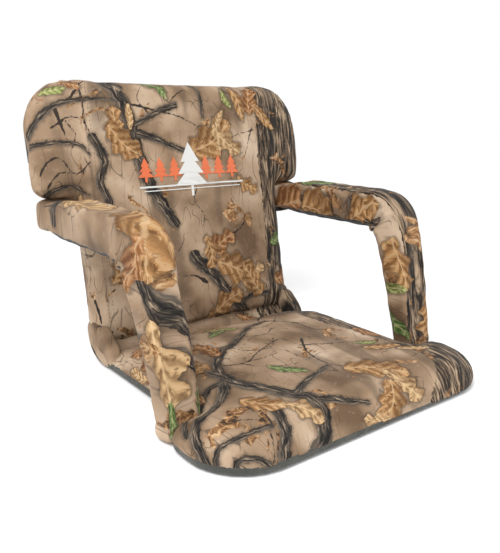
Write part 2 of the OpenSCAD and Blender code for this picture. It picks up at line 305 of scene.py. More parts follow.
def cut(obj, point, normal):
    """Adds an edge loop where a plane crosses the mesh."""
    mesh = bmesh.new()
    mesh.from_mesh(obj.data)
    everything = mesh.verts[:] + mesh.edges[:] + mesh.faces[:]
    bmesh.ops.bisect_plane(
        mesh, geom=everything, plane_co=Vector(point) * MM, plane_no=Vector(normal), dist=1e-6
    )
    mesh.to_mesh(obj.data)
    mesh.free()
    return smooth(obj)


def drop(obj):
    bpy.data.objects.remove(obj)


def attribute(obj, name, values, kind="FLOAT"):
    """Stores one value per vertex."""
    made = obj.data.attributes.new(name, kind, "POINT")
    key = {"FLOAT": "value", "FLOAT_VECTOR": "vector", "FLOAT_COLOR": "color"}[kind]
    made.data.foreach_set(key, np.asarray(values, np.float32).ravel())


def field_of(obj, name):
    """Values of a stored float field, one per vertex."""
    out = np.zeros(len(obj.data.vertices))
    obj.data.attributes[name].data.foreach_get("value", out)
    return out


# ---------- the woodland print ----------

TAN_LEAF, PALE_LEAF, RUST_LEAF = (0.47, 0.26, 0.105), (0.62, 0.42, 0.22), (0.40, 0.185, 0.07)
GREEN_LEAF, PALE_GREEN = (0.13, 0.25, 0.07), (0.30, 0.38, 0.12)
# Limbs with a half width above THIN are drawn this much stouter
LIMB_STOUTNESS, THIN = 1.3, 2.4
# A distance for places that no limb, twig or leaf comes near
FAR = 60.0


def leaf_width(u, kind):
    """Half width of a leaf, as a share of its half length, at u from -1 at the stalk to 1 at the tip."""
    inside = np.clip(1 - u * u, 0, 1)
    if kind == "oak":
        lobes = 1 + 0.42 * np.cos(7.6 * u + 0.4)
        return 0.40 * inside ** 0.7 * lobes * (1 + 0.25 * u) + 0.03
    if kind == "curl":
        return 0.52 * inside ** 0.55 * (1 + 0.22 * np.cos(9.5 * u + 1.2)) + 0.02
    return 0.30 * inside ** 0.85


class Print:
    """A stretch of printed cloth: limbs, twigs, leaves and a bark trunk laid out in its own plane."""

    def __init__(self, seed):
        self.seed = seed
        self.limbs = []
        self.twigs = []
        self.leaves = []
        self.trunks = []

    def draw(self, limbs=(), twigs=(), leaves=()):
        """Adds rows of limbs and twigs (half widths, points) and of leaves, later ones on top."""
        for width, *points in limbs:
            self.limbs.append(self.tapered(width, points))
        for width, *points in twigs:
            self.twig(width, *points)
        for row in leaves:
            self.leaf(*row)

    def twig(self, width, *points):
        self.twigs.append(self.tapered(width, points))

    def tapered(self, width, points):
        """Smooth slightly crooked line with a half width that runs from the first to the last given."""
        first, last = (end * LIMB_STOUTNESS if end > THIN else end for end in width)
        count = len(points) - 1
        rows = [(x, y, first + (last - first) * i / count) for i, (x, y) in enumerate(points)]
        line = smooth_line(rows)
        bump = ripple(line[:, :2], 45, self.seed + len(self.limbs) + len(self.twigs)) * line[:, 2]
        line[:, 0] += 0.3 * bump
        line[:, 1] += 0.2 * bump
        line[:, 2] *= 1 + 0.2 * ripple(line[:, :2], 25, self.seed + 9)
        return line

    def leaf(self, x, y, length, turn, kind, tint):
        """One leaf round (x, y), its tip turned this many degrees from the x axis."""
        self.leaves.append((x, y, length / 2, math.radians(turn), kind, tint))

    def trunk(self, *points):
        """A closed outline filled with bark."""
        self.trunks.append(smooth_line(list(points) + [points[0]], 4)[:, :2])

    def scatter(self, count, low, high, seed):
        """Fills an area with small twigs and leaves that nobody looks at closely."""
        rng = np.random.default_rng(seed)
        for _ in range(count):
            x, y = rng.uniform(low, high)
            turn = rng.uniform(0, 2 * math.pi)
            reach = rng.uniform(35, 80)
            bend = rng.uniform(-0.5, 0.5)
            row = [
                (x + reach * k * math.cos(turn + bend * k),
                 y + reach * k * math.sin(turn + bend * k))
                for k in (0, 0.5, 1)
            ]
            self.twig((rng.uniform(1.2, 3.2), 0.5), *row)
            if rng.uniform() < 0.55:
                tint = (TAN_LEAF, PALE_LEAF, RUST_LEAF, TAN_LEAF, GREEN_LEAF)[rng.integers(5)]
                kind = ("oak", "curl", "blade")[rng.integers(3)]
                at = rng.uniform(low, high)
                self.leaf(at[0], at[1], rng.uniform(38, 72), rng.uniform(0, 360), kind, tint)

    def paint(self, obj, flat, grain):
        """Stores the print's fields on the mesh, from each point's place on the cloth and along the bark."""
        wobble = np.stack([ripple(flat, 14, self.seed + 50), ripple(flat, 14, self.seed + 51)], axis=1)
        place = flat + 1.3 * wobble
        limb = np.tile([0.0, 0.0, FAR], (len(flat), 1))
        twig = np.full(len(flat), FAR)
        for line in self.limbs:
            near, away, along, across = self.near_line(place, line)
            closer = away < limb[near, 2]
            rows = near[closer]
            limb[rows] = np.stack([along[closer], across[closer], away[closer]], axis=1)
        for line in self.twigs:
            near, away, along, across = self.near_line(place, line)
            twig[near] = np.minimum(twig[near], away)
        leaf = np.tile([0.0, 0.0, FAR], (len(flat), 1))
        tints = np.ones((len(flat), 4))
        for x, y, half, turn, kind, tint in self.leaves:
            near = np.nonzero(np.hypot(place[:, 0] - x, place[:, 1] - y) < half * 1.6)[0]
            if not len(near):
                continue
            off = place[near] - [x, y]
            u = (off[:, 0] * math.cos(turn) + off[:, 1] * math.sin(turn)) / half
            v = (off[:, 1] * math.cos(turn) - off[:, 0] * math.sin(turn)) / half
            v = v + 0.12 * np.sin(2.2 * u + x)
            away = (np.abs(v) - leaf_width(u, kind)) * half * 0.8
            away = np.maximum(away, (np.abs(u) - 1) * half)
            away += 1.5 * ripple(place[near], 10, self.seed + 60, 3)
            closer = (away < 0.6) | (away < leaf[near, 2])
            rows = near[closer]
            leaf[rows] = np.stack([u, v, away], axis=1)[closer]
            tints[rows, :3] = tint
        trunk = np.full(len(flat), -FAR)
        for outline in self.trunks:
            trunk = np.maximum(trunk, inside_distance(flat + 2.5 * wobble, outline))
        attribute(obj, "cloth_place", np.column_stack([flat, np.zeros(len(flat))]), "FLOAT_VECTOR")
        attribute(obj, "grain", np.column_stack([grain, np.zeros(len(flat))]), "FLOAT_VECTOR")
        attribute(obj, "limb", limb, "FLOAT_VECTOR")
        attribute(obj, "leaf", leaf, "FLOAT_VECTOR")
        attribute(obj, "leaf_tint", tints, "FLOAT_COLOR")
        attribute(obj, "twig", twig)
        attribute(obj, "trunk", trunk)

    def near_line(self, place, line):
        """Which points lie near a line, and their distance outside it, along it and across it."""
        margin = 14
        low = line[:, :2].min(0) - margin
        high = line[:, :2].max(0) + margin
        near = np.nonzero(((place > low) & (place < high)).all(1))[0]
        away, along, across = line_field(place[near], line)
        return near, away, along, across


def inside_distance(points, outline):
    """Distance to a closed outline, positive inside it."""
    line = np.column_stack([np.vstack([outline, outline[:1]]), np.zeros(len(outline) + 1)])
    away, _, _ = line_field(points, line)
    inside = np.zeros(len(points), bool)
    for (x1, y1), (x2, y2) in zip(outline, np.roll(outline, -1, axis=0)):
        crosses = (y1 > points[:, 1]) != (y2 > points[:, 1])
        if not crosses.any():
            continue
        at = x1 + (points[:, 1] - y1) / (y2 - y1 if y2 != y1 else 1e-9) * (x2 - x1)
        inside ^= crosses & (points[:, 0] < at)
    return np.where(inside, away, -away)


def back_print():
    """The print on the back pad, in (x, height above the crease)."""
    p = Print(11)
    p.trunk((158, 470), (158, 380), (154, 290), (156, 200), (152, 100), (146, -40),
            (330, -40), (340, 200), (330, 480))
    p.draw(
        limbs=(
            ((10, 8), (-142, 450), (-122, 412), (-108, 378), (-97, 315), (-84, 272), (-72, 240),
             (-40, 190)),
            ((5, 2), (-275, 345), (-250, 372), (-225, 390), (-195, 397), (-150, 400), (-112, 395)),
            ((4.5, 3.5), (-14, 392), (-50, 380), (-96, 358)),
            ((6, 3), (-92, 346), (-60, 336), (-36, 324), (-5, 314)),
            ((6, 5), (-172, 340), (-157, 305), (-168, 268), (-158, 235), (-168, 200)),
            ((9, 7), (-12, 128), (28, 88), (80, 28), (120, -10)),
            ((4, 3), (80, 30), (112, 42), (150, 40)),
            ((3.5, 2.5), (14, 450), (38, 415), (40, 372)),
            ((3.6, 2), (-278, 328), (-240, 333), (-200, 330), (-180, 314)),
            ((3.4, 2), (-278, 246), (-240, 262), (-212, 266), (-188, 250)),
        ),
        twigs=(
            ((2.4, 1), (-112, 395), (-50, 382), (-8, 372), (26, 356)),
            ((1.8, 1), (-262, 285), (-246, 305), (-228, 309), (-206, 284), (-180, 302)),
            ((2.6, 1), (-226, 384), (-214, 338)),
            ((2.2, 1), (-202, 398), (-186, 416), (-160, 446)),
            ((1.5, 0.8), (-236, 355), (-206, 372), (-186, 366), (-176, 345)),
            ((1.5, 0.8), (-212, 365), (-200, 345), (-208, 322)),
            ((1.4, 0.8), (-254, 262), (-236, 284), (-222, 288)),
            ((1.4, 0.7), (-30, 384), (-18, 402), (8, 418), (22, 410)),
            ((1.2, 0.6), (-66, 376), (-84, 402), (-72, 424)),
            ((1.3, 0.7), (146, 352), (134, 326), (124, 300)),
            ((1.2, 0.7), (150, 348), (112, 340), (88, 330)),
            ((1.3, 0.7), (10, 250), (4, 226), (20, 200), (14, 180)),
            ((2.0, 1.0), (-186, 425), (-180, 400), (-182, 370), (-172, 340)),
            ((1.6, 0.8), (-250, 230), (-235, 190), (-240, 150)),
        ),
        leaves=(
            (-132, 358, 62, 95, "oak", TAN_LEAF),
            (-118, 332, 74, -42, "curl", TAN_LEAF),
            (-104, 372, 44, 78, "blade", PALE_LEAF),
            (52, 334, 104, 28, "curl", TAN_LEAF),
            (84, 330, 74, -48, "oak", PALE_LEAF),
            (74, 366, 44, 62, "blade", PALE_LEAF),
            (122, 248, 52, -40, "oak", TAN_LEAF),
            (48, 142, 74, 28, "oak", RUST_LEAF),
            (24, 134, 60, -80, "oak", TAN_LEAF),
            (82, 96, 96, -14, "curl", TAN_LEAF),
            (118, 84, 50, 30, "oak", PALE_LEAF),
            (48, 34, 84, 24, "oak", TAN_LEAF),
            (150, 405, 58, 80, "curl", RUST_LEAF),
            (176, 372, 66, -38, "blade", TAN_LEAF),
            (118, 398, 72, -70, "blade", TAN_LEAF),
            (196, 66, 60, 10, "curl", RUST_LEAF),
            (210, 108, 48, 70, "oak", TAN_LEAF),
            (-226, 414, 48, 14, "blade", PALE_GREEN),
            (-196, 424, 34, -10, "oak", RUST_LEAF),
            (-40, 420, 48, -62, "blade", GREEN_LEAF),
            (-54, 428, 36, -20, "blade", GREEN_LEAF),
            (184, 144, 44, 30, "curl", GREEN_LEAF),
            (96, 404, 40, -64, "blade", PALE_GREEN),
            (-150, 130, 60, 60, "oak", TAN_LEAF),
        ),
    )
    p.scatter(10, (-290, -10), (-150, 230), 5)
    p.scatter(5, (-120, 20), (120, 200), 6)
    p.scatter(6, (-290, 445), (260, 520), 7)
    return p


def seat_print():
    """The print on the seat pad, in (x, y), carried on over its edges."""
    p = Print(23)
    p.trunk((128, 260), (128, 60), (140, -20), (150, -110), (140, -180), (104, -235), (80, -300),
            (200, -330), (340, -200), (330, 260))
    p.draw(
        limbs=(
            ((8, 11), (-146, -32), (-134, -82), (-114, -122), (-92, -160), (-92, -196), (-108, -236),
             (-140, -262)),
            ((6, 7), (-86, 34), (-126, -8), (-146, -54), (-172, -88), (-220, -112), (-252, -134),
             (-280, -180)),
            ((3, 6), (52, 106), (6, 90), (-36, 60), (-66, 40), (-86, 35)),
            ((5, 3), (-92, -142), (-52, -122), (0, -104)),
            ((5, 3.5), (-92, -162), (-52, -182), (-14, -200)),
            ((3, 5), (-262, -222), (-240, -206), (-220, -214), (-206, -234)),
            ((4, 3), (-272, -192), (-246, -176), (-212, -180), (-168, -184)),
            ((5, 9), (-142, -150), (-156, -194), (-172, -226), (-196, -262)),
            ((4, 4), (-150, -60), (-180, -60), (-230, -84), (-260, -120)),
        ),
        twigs=(
            ((1.6, 1), (-126, -14), (-86, -26), (-46, -4), (14, 20), (22, -14)),
            ((2.0, 1), (52, 104), (86, 66), (92, 22), (122, 8)),
            ((2.0, 1), (42, 0), (14, -44), (4, -92), (26, -132)),
            ((1.4, 0.8), (-170, -120), (-172, -170), (-186, -216), (-212, -252)),
            ((1.2, 0.8), (-162, -122), (-164, -172), (-178, -214), (-204, -252)),
            ((1.4, 0.8), (-70, 40), (-60, 10), (-20, 0), (10, 30)),
            ((1.3, 0.8), (-30, 60), (10, 50), (40, 66), (60, 40)),
            ((1.3, 0.8), (-96, -26), (-70, -60), (-20, -70), (30, -60)),
            ((1.3, 0.8), (0, 84), (30, 80), (60, 90), (90, 120)),
            ((1.6, 0.8), (20, -20), (60, -40), (100, -60), (120, -100)),
            ((1.5, 0.8), (-206, -150), (-180, -166), (-160, -180)),
            ((1.3, 0.8), (-240, -210), (-232, -240), (-236, -262)),
            ((1.6, 0.8), (-60, 110), (-30, 130), (10, 150), (40, 190)),
        ),
        leaves=(
            (-148, -142, 60, -58, "curl", TAN_LEAF),
            (-114, -178, 66, -46, "oak", PALE_LEAF),
            (50, -150, 92, -30, "curl", TAN_LEAF),
            (66, -196, 78, -78, "oak", PALE_LEAF),
            (24, -216, 84, -120, "curl", TAN_LEAF),
            (-8, -236, 50, 160, "oak", PALE_LEAF),
            (122, -96, 66, -28, "blade", TAN_LEAF),
            (158, -128, 56, -20, "blade", PALE_LEAF),
            (158, -36, 54, -60, "curl", RUST_LEAF),
            (-54, -80, 60, -58, "blade", GREEN_LEAF),
            (-32, 114, 56, -30, "blade", PALE_GREEN),
            (-52, 98, 40, 20, "blade", GREEN_LEAF),
            (114, -70, 40, -20, "blade", PALE_GREEN),
            (-20, 164, 76, 20, "oak", TAN_LEAF),
            (-110, 120, 70, 50, "oak", TAN_LEAF),
            (-196, 60, 80, 80, "oak", RUST_LEAF),
            (-200, -40, 60, 110, "oak", TAN_LEAF),
        ),
    )
    p.scatter(9, (-240, -40), (-60, 230), 8)
    p.scatter(4, (-60, 130), (110, 230), 9)
    return p


def sleeve_print(side):
    """The print on an armrest sleeve, in (distance along it from the back, distance round from its top)."""
    if side == "left":
        p = Print(37)
        p.draw(
            limbs=(
                ((10, 16), (330, 30), (370, 6), (410, -30), (440, -70), (470, -110)),
                ((8, 8), (395, 80), (420, 30), (440, -10), (470, -60), (520, -80)),
                ((6, 4), (70, 40), (90, 10), (110, -14), (140, -18)),
                ((4, 5), (60, -44), (100, -30), (150, -40), (190, -60)),
            ),
            twigs=(
                ((2, 1), (10, -40), (40, -10), (60, 10)),
                ((2, 1), (30, -60), (50, -30), (44, 0)),
            ),
            leaves=(
                (90, -22, 96, 10, "curl", TAN_LEAF),
                (160, 6, 76, -20, "oak", PALE_LEAF),
                (292, 2, 104, 8, "curl", TAN_LEAF),
                (320, 36, 70, 60, "oak", RUST_LEAF),
                (336, -30, 70, -40, "oak", TAN_LEAF),
                (440, 18, 110, 4, "oak", PALE_LEAF),
                (420, 44, 56, 100, "oak", TAN_LEAF),
                (506, -26, 60, -12, "blade", GREEN_LEAF),
                (510, 20, 52, 20, "blade", GREEN_LEAF),
                (216, -44, 64, 20, "blade", TAN_LEAF),
            ),
        )
        p.scatter(6, (0, -95), (260, 95), 12)
    else:
        p = Print(41)
        p.trunk((-20, -10), (60, -18), (140, -26), (230, -24), (300, -22), (380, -18), (560, -30),
                (560, 34), (420, 30), (330, 40), (260, 44), (150, 30), (60, 20), (-20, 20))
        p.draw(
            limbs=(
                ((5, 7), (40, -66), (90, -50), (150, -52), (200, -70)),
                ((6, 5), (230, -40), (270, -60), (300, -50)),
            ),
            leaves=(
                (122, -4, 52, 20, "curl", GREEN_LEAF),
                (30, -4, 60, 0, "blade", RUST_LEAF),
                (364, 22, 62, 10, "blade", TAN_LEAF),
                (380, -30, 90, 6, "oak", TAN_LEAF),
                (480, -44, 60, 30, "blade", GREEN_LEAF),
                (470, 20, 74, -10, "curl", TAN_LEAF),
                (60, -56, 90, 8, "curl", RUST_LEAF),
                (150, -60, 90, -10, "curl", TAN_LEAF),
                (250, -52, 80, 30, "oak", TAN_LEAF),
                (420, -50, 60, 90, "blade", PALE_GREEN),
            ),
        )
        p.scatter(6, (0, 30), (520, 95), 13)
    return p


# ---------- materials ----------


class Maker:
    """Short calls for building a node tree."""

    def __init__(self, name):
        self.material = bpy.data.materials.new(name)
        self.material.use_nodes = True
        self.nodes = self.material.node_tree.nodes
        self.links = self.material.node_tree.links
        self.shader = self.nodes["Principled BSDF"]

    def feed(self, socket, value):
        """Links a socket into another one, or sets it to a constant. None leaves it alone."""
        if isinstance(value, bpy.types.NodeSocket):
            self.links.new(value, socket)
        elif value is not None:
            if hasattr(socket.default_value, "__len__") and not hasattr(value, "__len__"):
                value = [value] * len(socket.default_value)
            if hasattr(value, "__len__") and len(socket.default_value) == 4 and len(value) == 3:
                value = (*value, 1)
            socket.default_value = value

    def math(self, operation, a, b=None, clamp=False):
        node = self.nodes.new("ShaderNodeMath")
        node.operation = operation
        node.use_clamp = clamp
        self.feed(node.inputs[0], a)
        self.feed(node.inputs[1], b)
        return node.outputs[0]

    def object_place(self):
        return self.nodes.new("ShaderNodeTexCoord").outputs["Object"]

    def stored(self, name, output="Fac"):
        """A field that the mesh carries."""
        node = self.nodes.new("ShaderNodeAttribute")
        node.attribute_name = name
        return node.outputs[output]

    def split(self, vector):
        node = self.nodes.new("ShaderNodeSeparateXYZ")
        self.feed(node.inputs[0], vector)
        return node.outputs

    def scaled(self, vector, scale, turn=0.0):
        node = self.nodes.new("ShaderNodeMapping")
        node.inputs["Rotation"].default_value = (0, 0, turn)
        self.feed(node.inputs["Vector"], vector)
        node.inputs["Scale"].default_value = scale
        return node.outputs[0]

    def noise(self, vector, scale, detail=3.0, rough=0.55, warp=0.0):
        node = self.nodes.new("ShaderNodeTexNoise")
        self.feed(node.inputs["Vector"], vector)
        node.inputs["Scale"].default_value = scale
        node.inputs["Detail"].default_value = detail
        node.inputs["Roughness"].default_value = rough
        node.inputs["Distortion"].default_value = warp
        return node.outputs[0]

    def ramp(self, value, *stops):
        """Colour ramp through (place, colour) stops."""
        node = self.nodes.new("ShaderNodeValToRGB")
        self.feed(node.inputs[0], value)
        elements = node.color_ramp.elements
        while len(elements) < len(stops):
            elements.new(0.5)
        for element, (place, colour) in zip(elements, stops):
            element.position = place
            element.color = (*colour, 1) if hasattr(colour, "__len__") else (colour, colour, colour, 1)
        return node.outputs[0]

    def step(self, value, low, high, out_low=0.0, out_high=1.0):
        """Soft step between two values of a field."""
        node = self.nodes.new("ShaderNodeMapRange")
        node.interpolation_type = "SMOOTHSTEP"
        self.feed(node.inputs["Value"], value)
        node.inputs["From Min"].default_value = low
        node.inputs["From Max"].default_value = high
        node.inputs["To Min"].default_value = out_low
        node.inputs["To Max"].default_value = out_high
        return node.outputs[0]

    def mix(self, share, a, b, blend="MIX"):
        node = self.nodes.new("ShaderNodeMix")
        node.data_type = "RGBA"
        node.blend_type = blend
        self.feed(node.inputs[0], share)
        self.feed(node.inputs[6], a)
        self.feed(node.inputs[7], b)
        return node.outputs[2]

    def bump(self, height, strength, distance, after=None):
        node = self.nodes.new("ShaderNodeBump")
        node.inputs["Strength"].default_value = strength
        node.inputs["Distance"].default_value = distance
        self.feed(node.inputs["Height"], height)
        if after is not None:
            self.feed(node.inputs["Normal"], after)
        return node.outputs[0]

    def set(self, **values):
        """Feeds the shader's own sockets and returns the material."""
        for key, value in values.items():
            self.feed(self.shader.inputs[key.replace("_", " ")], value)
        return self.material


def weave(m, coordinates, strength=0.25):
    """Fine crossed threads as a bump."""
    x, y, z = m.split(coordinates)
    warp = m.math("SINE", m.math("MULTIPLY", m.math("ADD", x, z), 2 * math.pi / 1.1))
    weft = m.math("SINE", m.math("MULTIPLY", m.math("ADD", y, z), 2 * math.pi / 1.1))
    return m.bump(m.math("MULTIPLY", warp, weft), strength, 0.0003)


def camo_material():
    """Printed woodland cloth. The layout comes from the mesh's stored fields."""
    m = Maker("woodland_print")
    place = m.stored("cloth_place", "Vector")
    grain = m.stored("grain", "Vector")
    colour = camo_ground(m, place, grain)
    colour = camo_bark(m, place, grain, colour)
    colour = camo_undergrowth(m, place, colour)
    colour = camo_limbs(m, place, colour)
    colour = camo_leaves(m, place, colour)
    colour = m.mix(1.0, colour, (0.74, 0.70, 0.66), "MULTIPLY")
    return m.set(Base_Color=colour, Roughness=0.7, Specular_IOR_Level=0.14, Sheen_Weight=0.03,
                 Sheen_Roughness=0.5, Normal=weave(m, place, 0.18))


def camo_ground(m, place, grain):
    """Blurred beige forest floor with out-of-focus darker trunks."""
    patches = m.noise(place, 0.010, 2.0, 0.5, 0.3)
    ground = m.ramp(patches, (0.34, (0.165, 0.106, 0.064)), (0.45, (0.330, 0.232, 0.152)),
                    (0.58, (0.500, 0.378, 0.268)), (0.70, (0.680, 0.555, 0.425)))
    blurred = m.noise(m.scaled(grain, (0.020, 0.0035, 1)), 1.0, 1.0, 0.5)
    ground = m.mix(m.step(blurred, 0.54, 0.66, 0.0, 0.6), ground, (0.135, 0.094, 0.064))
    mottle = m.noise(place, 0.10, 5.0, 0.7)
    ground = m.mix(m.step(mottle, 0.52, 0.72, 0.0, 0.32), ground, (0.16, 0.105, 0.066))
    return m.mix(m.step(mottle, 0.44, 0.30, 0.0, 0.25), ground, (0.66, 0.55, 0.43))


def camo_bark(m, place, grain, below):
    """Upright bark: dark furrows between light ridges."""
    streaks = m.noise(m.scaled(grain, (0.17, 0.020, 1)), 1.0, 5.0, 0.66, 0.7)
    bark = m.ramp(streaks, (0.40, (0.014, 0.012, 0.011)), (0.47, (0.055, 0.044, 0.034)),
                  (0.53, (0.20, 0.145, 0.10)), (0.62, (0.50, 0.385, 0.27)))
    broad = m.noise(m.scaled(grain, (0.028, 0.005, 1)), 1.0, 1.0, 0.5)
    bark = m.mix(m.step(broad, 0.50, 0.62, 0.0, 0.55), bark, (0.030, 0.028, 0.027))
    rough = m.math("MULTIPLY", m.math("SUBTRACT", m.noise(place, 0.12, 3.0), 0.5), 9.0)
    edge = m.math("ADD", m.stored("trunk"), rough)
    return m.mix(m.step(edge, -0.8, 0.8), below, bark)


def camo_undergrowth(m, place, below):
    """Thin winding stems, and patches of small litter, both soft."""
    colour = below
    for scale, turn, width in (((0.030, 0.010, 1), 0.5, 0.008), ((0.028, 0.009, 1), -0.9, 0.007),
                               ((0.045, 0.020, 1), 1.6, 0.009)):
        run = m.noise(m.scaled(place, scale, turn), 1.0, 0.6, 0.4, 0.1)
        ridge = m.math("ABSOLUTE", m.math("SUBTRACT", run, 0.5))
        there = m.step(m.noise(m.scaled(place, (0.012, 0.012, 1), turn + 1), 1.0, 1.0), 0.52, 0.58)
        stem = m.math("MULTIPLY", m.step(ridge, width * 0.4, width, 0.6, 0.0), there)
        colour = m.mix(stem, colour, (0.055, 0.040, 0.030))
    litter = m.noise(place, 0.075, 6.0, 0.72, 1.2)
    shades = m.ramp(litter, (0.40, (0.045, 0.030, 0.020)), (0.48, (0.24, 0.125, 0.055)),
                    (0.55, (0.47, 0.27, 0.125)), (0.63, (0.68, 0.50, 0.31)))
    area = m.step(m.noise(place, 0.016, 3.0, 0.6, 0.8), 0.605, 0.645)
    return m.mix(area, colour, shades)


def camo_limbs(m, place, below):
    """Thin dark twigs, and limbs with grain along them, lit on one side."""
    twig_edge = m.math("ADD", m.stored("twig"), m.math("MULTIPLY", m.noise(place, 0.5, 2.0), 0.8))
    colour = m.mix(m.step(twig_edge, -0.1, 0.9, 1.0, 0.0), below, (0.040, 0.031, 0.026))
    _, across, away = m.split(m.stored("limb", "Vector"))
    skin = m.noise(m.scaled(m.stored("limb", "Vector"), (0.035, 3.0, 0.0)), 1.0, 4.0, 0.62, 0.15)
    limb = m.ramp(skin, (0.42, (0.012, 0.011, 0.011)), (0.50, (0.050, 0.043, 0.037)),
                  (0.57, (0.15, 0.120, 0.092)), (0.66, (0.40, 0.32, 0.235)))
    limb = m.mix(m.step(across, 0.25, 0.95, 0.0, 0.5), limb, (0.21, 0.175, 0.14))
    limb = m.mix(m.step(across, -0.95, -0.1, 0.6, 0.0), limb, (0.008, 0.008, 0.009))
    rough = m.math("MULTIPLY", m.math("SUBTRACT", m.noise(place, 0.22, 4.0, 0.65), 0.5), 5.0)
    away = m.math("ADD", away, rough)
    colour = m.mix(m.step(away, 0.0, 6.0, 0.45, 0.0), colour, (0.07, 0.047, 0.031))
    return m.mix(m.step(away, -0.4, 0.4, 1.0, 0.0), colour, limb)


def camo_leaves(m, place, below):
    """Dry leaves: pleated along their ribs, one half in shade, over a soft cast shadow."""
    u, v, out = m.split(m.stored("leaf", "Vector"))
    tint = m.stored("leaf_tint", "Color")
    spread = m.math("ABSOLUTE", v)
    crumple = m.noise(place, 0.11, 5.0, 0.68, 0.8)
    bend = m.math("MULTIPLY", crumple, 7.0)
    slant = m.math("SUBTRACT", u, m.math("MULTIPLY", spread, 1.1))
    run = m.math("ADD", m.math("MULTIPLY", slant, 15.0), bend)
    pleat = m.math("SINE", run)
    dark = m.mix(1.0, tint, (0.24, 0.19, 0.16), "MULTIPLY")
    pale = m.mix(0.55, tint, (0.86, 0.70, 0.46))
    leaf = m.mix(m.step(pleat, -1.0, 0.4, 0.55, 0.0), tint, dark)
    leaf = m.mix(m.step(pleat, 0.5, 1.0, 0.0, 0.45), leaf, pale)
    leaf = m.mix(m.step(crumple, 0.50, 0.62, 0.0, 0.7), leaf, dark)
    leaf = m.mix(m.step(crumple, 0.44, 0.34, 0.0, 0.6), leaf, pale)
    leaf = m.mix(m.step(v, 0.02, 0.3, 0.0, 0.5), leaf, dark)
    leaf = m.mix(m.step(spread, 0.015, 0.05, 0.55, 0.0), leaf, pale)
    colour = m.mix(m.step(out, 0.0, 6.0, 0.6, 0.0), below, (0.050, 0.032, 0.021))
    return m.mix(m.step(out, -0.3, 0.3, 1.0, 0.0), colour, leaf)


def plain_cloth(name, dark, light, rough=0.85):
    """Flecked woven cloth in one colour."""
    m = Maker(name)
    place = m.object_place()
    in_mm = m.scaled(place, (1000, 1000, 1000))
    fleck = m.noise(in_mm, 0.5, 3.0)
    wear = m.noise(in_mm, 0.03, 2.0)
    colour = m.mix(m.step(m.math("ADD", fleck, wear), 0.8, 1.25), dark, light)
    return m.set(Base_Color=colour, Roughness=rough, Specular_IOR_Level=0.3, Sheen_Weight=0.15,
                 Normal=weave(m, in_mm, 0.4))


def metal_material(name, colour, rough, metallic):
    """Slightly uneven metal or coating."""
    m = Maker(name)
    place = m.object_place()
    grain = m.noise(place, 900.0, 3.0)
    tone = m.mix(m.step(grain, 0.3, 0.7), colour, [c * 0.7 for c in colour])
    return m.set(Base_Color=tone, Metallic=metallic,
                 Roughness=m.step(grain, 0.3, 0.7, rough, rough + 0.15), Normal=m.bump(grain, 0.15, 0.0002))


def foam_material():
    """Yellowed open-cell foam."""
    m = Maker("foam")
    place = m.object_place()
    cells = m.noise(place, 700.0, 2.0)
    # The colour is darker in the pits between cells, where the bump is low: painted shade.
    return m.set(Base_Color=m.mix(cells, (0.55, 0.48, 0.28), (0.75, 0.68, 0.45)), Roughness=0.95,
                 Normal=m.bump(cells, 0.6, 0.0008))


def thread_material(name, colour):
    """Satin stitches that run across the width."""
    m = Maker(name)
    place = m.object_place()
    rows = m.math("SINE", m.math("MULTIPLY", m.split(place)[0], 2 * math.pi / 0.0011))
    # The colour falls to 55% in the grooves between thread rows, where the bump is low: painted shade.
    tone = m.mix(m.step(rows, -0.8, 0.8), [c * 0.55 for c in colour], colour)
    return m.set(Base_Color=tone, Roughness=0.5, Sheen_Weight=0.3, Normal=m.bump(rows, 0.5, 0.0004))


def dress(obj, material):
    """Gives a piece its one material."""
    obj.data.materials.clear()
    obj.data.materials.append(material)
    return obj


def settle(piece, body, *stands_for):
    """Fixes a piece to a body, in place of CAD nodes."""
    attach(piece, body)
    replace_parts(piece, *stands_for)


# ---------- pads ----------


def arc(x, y, r, start, end, count=10):
    """Points round (x, y) from a start to an end angle in degrees."""
    turn = np.radians(np.linspace(start, end, count))
    return [(x + r * math.cos(t), y + r * math.sin(t)) for t in turn]


def seat_outline():
    """Right half of the seat seen from above, from the middle of the front to the middle of the rear."""
    front, rear = SEAT_LOW[1], SEAT_HIGH[1]
    return (
        [(0, front)]
        + arc(SEAT_HALF - FRONT_CORNER, front + FRONT_CORNER, FRONT_CORNER, -90, 0, 16)
        + arc(SEAT_HALF - WING_CORNER, WING_REAR - WING_CORNER, WING_CORNER, 0, 90)
        + arc(WAIST + NOTCH_CORNER, WING_REAR + NOTCH_CORNER, NOTCH_CORNER, 270, 180, 6)
        + arc(WAIST - NOTCH_CORNER, rear - NOTCH_CORNER, NOTCH_CORNER, 0, 90, 6)
        + [(0, rear)]
    )


def back_outline():
    """Right half of the back seen from the front, from the middle of its foot to the middle of its top."""
    foot_corner = 8
    return (
        [(0, BACK_LOW)]
        + arc(WAIST - foot_corner, BACK_LOW + foot_corner, foot_corner, -90, 0, 5)
        + arc(WAIST + NOTCH_CORNER, BACK_WING - NOTCH_CORNER, NOTCH_CORNER, 180, 90, 6)
        + arc(BACK_HALF - WING_CORNER, BACK_WING + WING_CORNER, WING_CORNER, -90, 0)
        + arc(BACK_HALF - TOP_CORNER, BACK_TOP - TOP_CORNER, TOP_CORNER, 0, 90, 16)
        + [(0, BACK_TOP)]
    )


def closed_outline(half):
    """The full outline from its right half, resampled evenly."""
    right = np.array(half)
    line = np.vstack([right, (right * [-1, 1])[-2:0:-1]])
    line = np.vstack([line, line[:1]])
    run = np.concatenate([[0], np.cumsum(np.linalg.norm(np.diff(line, axis=0), axis=1))])
    count = int(run[-1] / 6)
    at = np.linspace(0, run[-1], count, endpoint=False)
    return np.column_stack([np.interp(at, run, line[:, 0]), np.interp(at, run, line[:, 1])])


